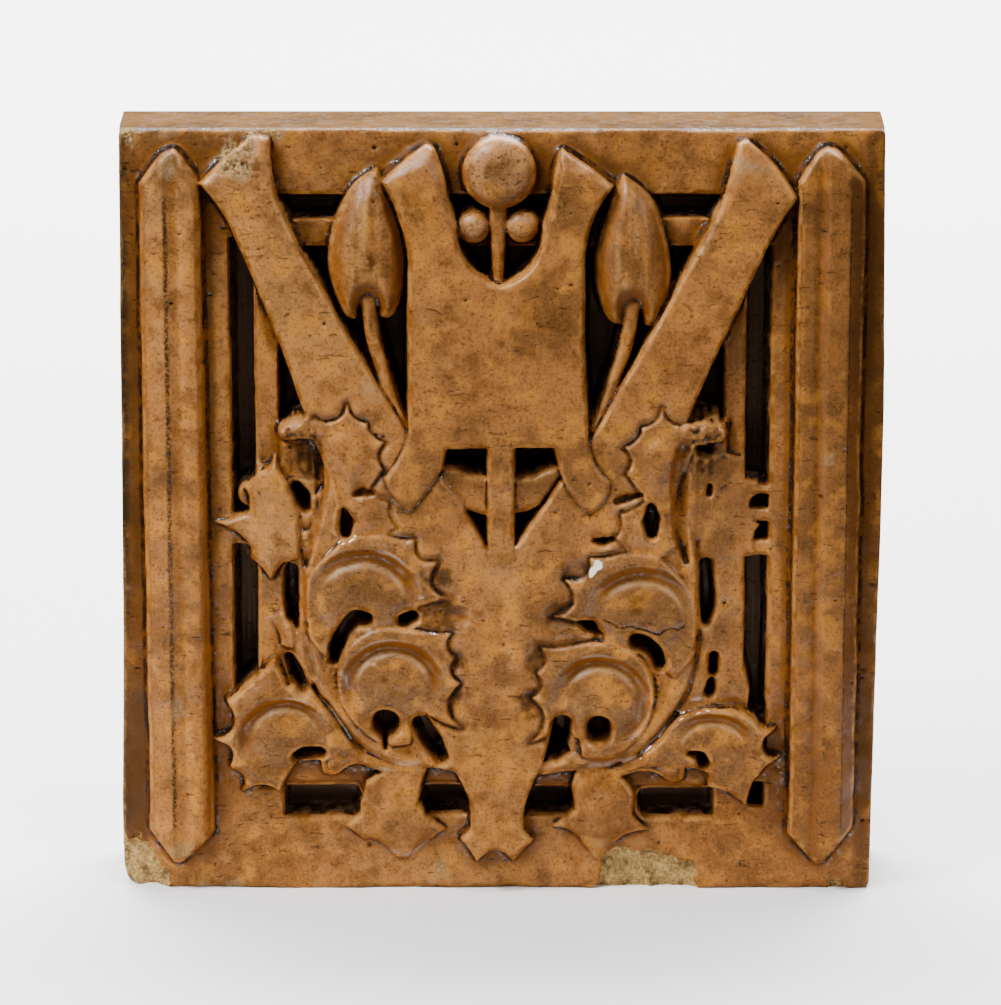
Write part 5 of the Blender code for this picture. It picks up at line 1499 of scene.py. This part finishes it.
DRIFT = 0.004
wavering = nodes.new("ShaderNodeVectorMath")
wavering.operation = "MULTIPLY_ADD"
drift = nodes.new("ShaderNodeTexNoise")
drift.inputs["Scale"].default_value = 120.0
drift.inputs["Detail"].default_value = 1.0
links.new(coordinates, drift.inputs["Vector"])
links.new(drift.outputs["Color"], wavering.inputs[0])
wavering.inputs[1].default_value = (DRIFT, DRIFT, DRIFT)
links.new(stretched(0.22, 1.0, 1.0), wavering.inputs[2])
crazing = ramp(noise(760.0, 2.0, wavering.outputs[0]), 0.62, 0.70)
dashes = both(crazing, ramp(cloud, 0.25, 0.6, 0.1, 0.85))
specks = both(ramp(grain, 0.62, 0.70), ramp(cloud, 0.7, 0.3, 0.3, 0.9))
arris_lines = either(streak_at(-133.2, 1.3), either(streak_at(117.2, 0.7), streak_at(138.6, 0.4)))
arris_lines = both(arris_lines, ramp(grain, 0.42, 0.52))
on_bars = both(ramp(level.outputs["Z"], 0.026, 0.030), ramp(level.outputs["Z"], 0.290, 0.286))
flaws = either(both(arris_lines, on_bars), either(dashes, specks))
tint = over(tint, colour(36, 20, 9), both(flaws, 0.85))
print("nodes so far:", len(nodes))

# %% [markdown]
# ## Clay without glaze
# Worn spots show the buff body through the glaze, breaks show it bare and rough, and the sides, top
# and back were never glazed: they carry a thin wash, dulled by dust and by old mortar.

# %% Worn spots and breaks
rub = both(attribute("rubbed"), ramp(grain, 0.40, 0.56))
tint = over(tint, colour(182, 150, 100), rub)
# Two small white spots.
tint = over(tint, colour(238, 232, 216), ramp(attribute("white_spots"), 0.3, 0.6))
clay = over(colour(194, 160, 100), colour(140, 110, 64), ramp(grain, 0.42, 0.58))
clay = over(clay, colour(92, 66, 38), ramp(blotch, 0.52, 0.64, 0.0, 0.8))
tint = over(tint, clay, ramp(attribute("bare"), 0.35, 0.65))
print("bare clay laid")

# %% Sides, top and back
dusty = over(colour(106, 74, 38), colour(82, 57, 30), ramp(noise(32.0, 6.0, rough=0.7), 0.40, 0.64))
dusty = over(dusty, colour(66, 46, 30), ramp(noise(330.0, 3.0, rough=0.6), 0.60, 0.72, 0.0, 0.8))
dusty = over(dusty, colour(152, 120, 84), ramp(grain, 0.43, 0.34, 0.0, 0.5))
# Soot lies on the front of the left side and along the top's back edge. Places are in metres.
at_the_left = ramp(level.outputs["X"], -0.1500, -0.1525)
left_dirt = both(at_the_left, ramp(level.outputs["Y"], 0.012, -0.008))
at_the_top = ramp(level.outputs["Z"], 0.3110, 0.3125)
back_line = both(ramp(level.outputs["Y"], 0.0295, 0.0318), at_the_top)
soiled = both(either(left_dirt, back_line), ramp(blotch, 0.36, 0.54, 0.35, 0.9))
dusty = over(dusty, colour(44, 34, 22), soiled)
tint = over(tint, dusty, attribute("side"))
links.new(tint, shader.inputs["Base Color"])
print("colour done with", len(nodes), "nodes")

# %% [markdown]
# ## Gloss and fine bump
# The glaze is clear and smooth where it ran thick, duller where it is thin, and dead matt where there is
# dirt, painted shade, bare clay or a dark seam. The roughness says how sharp a reflection is, and the
# specular level how strong. A bump of a third of a millimetre gives the orange-peel of the surface.

# %% Where it is glossy
dull = either(rub, either(attribute("bare"), attribute("side")))
wet = either(ramp(attribute("hollow"), 0.05, 0.4), ramp(attribute("seam"), 0.15, 0.5))
wet = both(wet, both(ramp(blotch, 0.49, 0.55), ramp(grain, 0.48, 0.56)))
wet = both(wet, ramp(attribute("painted_shade"), 0.0, 0.8, 1.0, 0.15))
run = both(attribute("runs"), ramp(grain, 0.34, 0.42))
wet = either(wet, run)
glossy = math_node("SUBTRACT", ramp(cloud, 0.2, 0.8, 0.22, 0.32), both(wet, 0.19))
links.new(either(glossy, both(dull, 0.9)), shader.inputs["Roughness"])
print("gloss set")

# %% Where it is matt
MATT_PLACES = (
    ramp(attribute("hollow"), 0.0, 0.3, 0.0, 0.6), both(attribute("low"), 0.85),
    ramp(attribute("seam"), 0.03, 0.3, 0.0, 0.95), ramp(attribute("under"), 0.05, 0.6, 0.0, 0.95),
    ramp(attribute("steep"), 0.1, 0.8, 0.0, 0.6), both(attribute("stain_and_shade"), 0.9),
    both(attribute("painted_shade"), 0.9),
)
matt = either(dull, seams)
for amount in MATT_PLACES:
    matt = either(matt, amount)
shine = math_node("SUBTRACT", 0.42, both(matt, 0.38))
shine = math_node("ADD", shine, both(wet, 0.8))
links.new(shine, shader.inputs["Specular IOR Level"])
print("matt places:", len(MATT_PLACES))

# %% Fine bump
BUMP_DEPTH = 0.0003
bump = nodes.new("ShaderNodeBump")
bump.inputs["Distance"].default_value = BUMP_DEPTH
rough_clay = both(grain, ramp(dull, 0.0, 1.0, 0.5, 2.5))
links.new(math_node("ADD", noise(210.0, 3.0, rough=0.6), rough_clay), bump.inputs["Height"])
links.new(ramp(run, 0.0, 0.6, 1.0, 0.1), bump.inputs["Strength"])
links.new(bump.outputs["Normal"], shader.inputs["Normal"])
block.data.materials.clear()
block.data.materials.append(glaze)
print("glazed with", len(nodes), "nodes")

# %% The block's place in the frame
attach(block, "root")
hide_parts("terracotta_block")
print(block.name, "rides the root body")

# %% [markdown]
# ## Floor
# The photograph is a studio picture on white. A sheet of white paper lies under the block and runs
# far behind it, wider at the back, where the camera sees more of it.

# %% Floor
bpy.ops.object.select_all(action="DESELECT")
bpy.ops.mesh.primitive_plane_add(size=1.0)
floor = bpy.context.object
floor.name = "floor"
# The corners, from the front edge just before the block to far behind it.
for corner, (x, y) in zip(floor.data.vertices, ((-0.3, -0.22), (0.3, -0.22), (-2.2, 7.0), (2.2, 7.0))):
    corner.co = (x, y, 0)
paper = bpy.data.materials.new("white_paper")
paper.use_nodes = True
paper.node_tree.nodes["Principled BSDF"].inputs["Base Color"].default_value = (0.96, 0.96, 0.96, 1.0)
paper.node_tree.nodes["Principled BSDF"].inputs["Roughness"].default_value = 0.9
floor.data.materials.append(paper)
print("floor laid")

# %% [markdown]
# ## Lights
# A large soft light stands above, in front and to the left, with a weak one on each side. Four small
# ones give the sharp white glints that wet-looking glaze has, and one lights the paper behind.


# %% Lights
def soft_light(name, place, aim, size, watts):
    """A rectangular lamp. Places and sizes are in metres."""
    lamp = bpy.data.lights.new(name, "AREA")
    lamp.shape = "RECTANGLE"
    lamp.size, lamp.size_y = size
    lamp.energy = watts
    thing = bpy.data.objects.new(name, lamp)
    bpy.context.scene.collection.objects.link(thing)
    thing.location = place
    thing.rotation_euler = (Vector(aim) - Vector(place)).to_track_quat("-Z", "Y").to_euler()


BLOCK_MIDDLE = (0, 0, 0.15)
LIGHTS = (
    ("overhead", (-0.75, -0.5, 1.15), (0, 0, 0.17), (0.55, 0.3), 27.0),
    ("front_left", (-1.7, -1.3, 0.7), BLOCK_MIDDLE, (0.3, 0.6), 5.0),
    ("glint_front", (-0.62, -1.24, 1.1), BLOCK_MIDDLE, (0.05, 0.05), 3.5),
    ("glint_left", (-1.15, -0.7, 0.8), BLOCK_MIDDLE, (0.05, 0.15), 3.0),
    ("glint_top", (0.1, -0.3, 1.3), BLOCK_MIDDLE, (0.25, 0.06), 7.0),
    ("glint_right", (1.1, -0.7, 0.8), BLOCK_MIDDLE, (0.05, 0.15), 3.5),
    ("front_right", (1.6, -1.2, 0.7), BLOCK_MIDDLE, (0.5, 0.9), 0.9),
    ("backdrop", (0.0, 2.9, 2.8), (0, 3.0, 0), (4.5, 4.4), 1000.0),
)
for light in LIGHTS:
    soft_light(*light)
print(len(LIGHTS), "lights")

# %% World
world = bpy.data.worlds.new("studio")
world.use_nodes = True
world.node_tree.nodes["Background"].inputs["Color"].default_value = (1.0, 1.0, 1.0, 1.0)
world.node_tree.nodes["Background"].inputs["Strength"].default_value = 0.12
bpy.context.scene.world = world
print("weak white light from all round")

# %% [markdown]
# ## Camera
# The camera stands 1.75 m away and 13 degrees above the block, with a long lens, so that the top
# face shows as a thin strip and the sides hardly at all. The angles come from fitting the block's
# corners to where the photograph has them.

# %% Camera
PITCH, AZIMUTH, DISTANCE = math.radians(13.0), math.radians(0.08), 1750.0
FOCAL_LENGTH = 155.45
aim = Vector((-0.28 + SHIFT_X, FIELD_Y, 162.78)) * MM
level_reach = math.cos(PITCH)
forward = Vector((-math.sin(AZIMUTH) * level_reach, math.cos(AZIMUTH) * level_reach, -math.sin(PITCH)))
lens = bpy.data.cameras.new("camera")
lens.lens = FOCAL_LENGTH
lens.sensor_fit = "VERTICAL"
lens.sensor_height = 36.0
camera = bpy.data.objects.new("camera", lens)
camera.location = aim - forward * DISTANCE * MM
camera.rotation_euler = forward.to_track_quat("-Z", "Y").to_euler()
bpy.context.scene.collection.objects.link(camera)
bpy.context.scene.camera = camera
print("camera at", [round(v, 3) for v in camera.location])
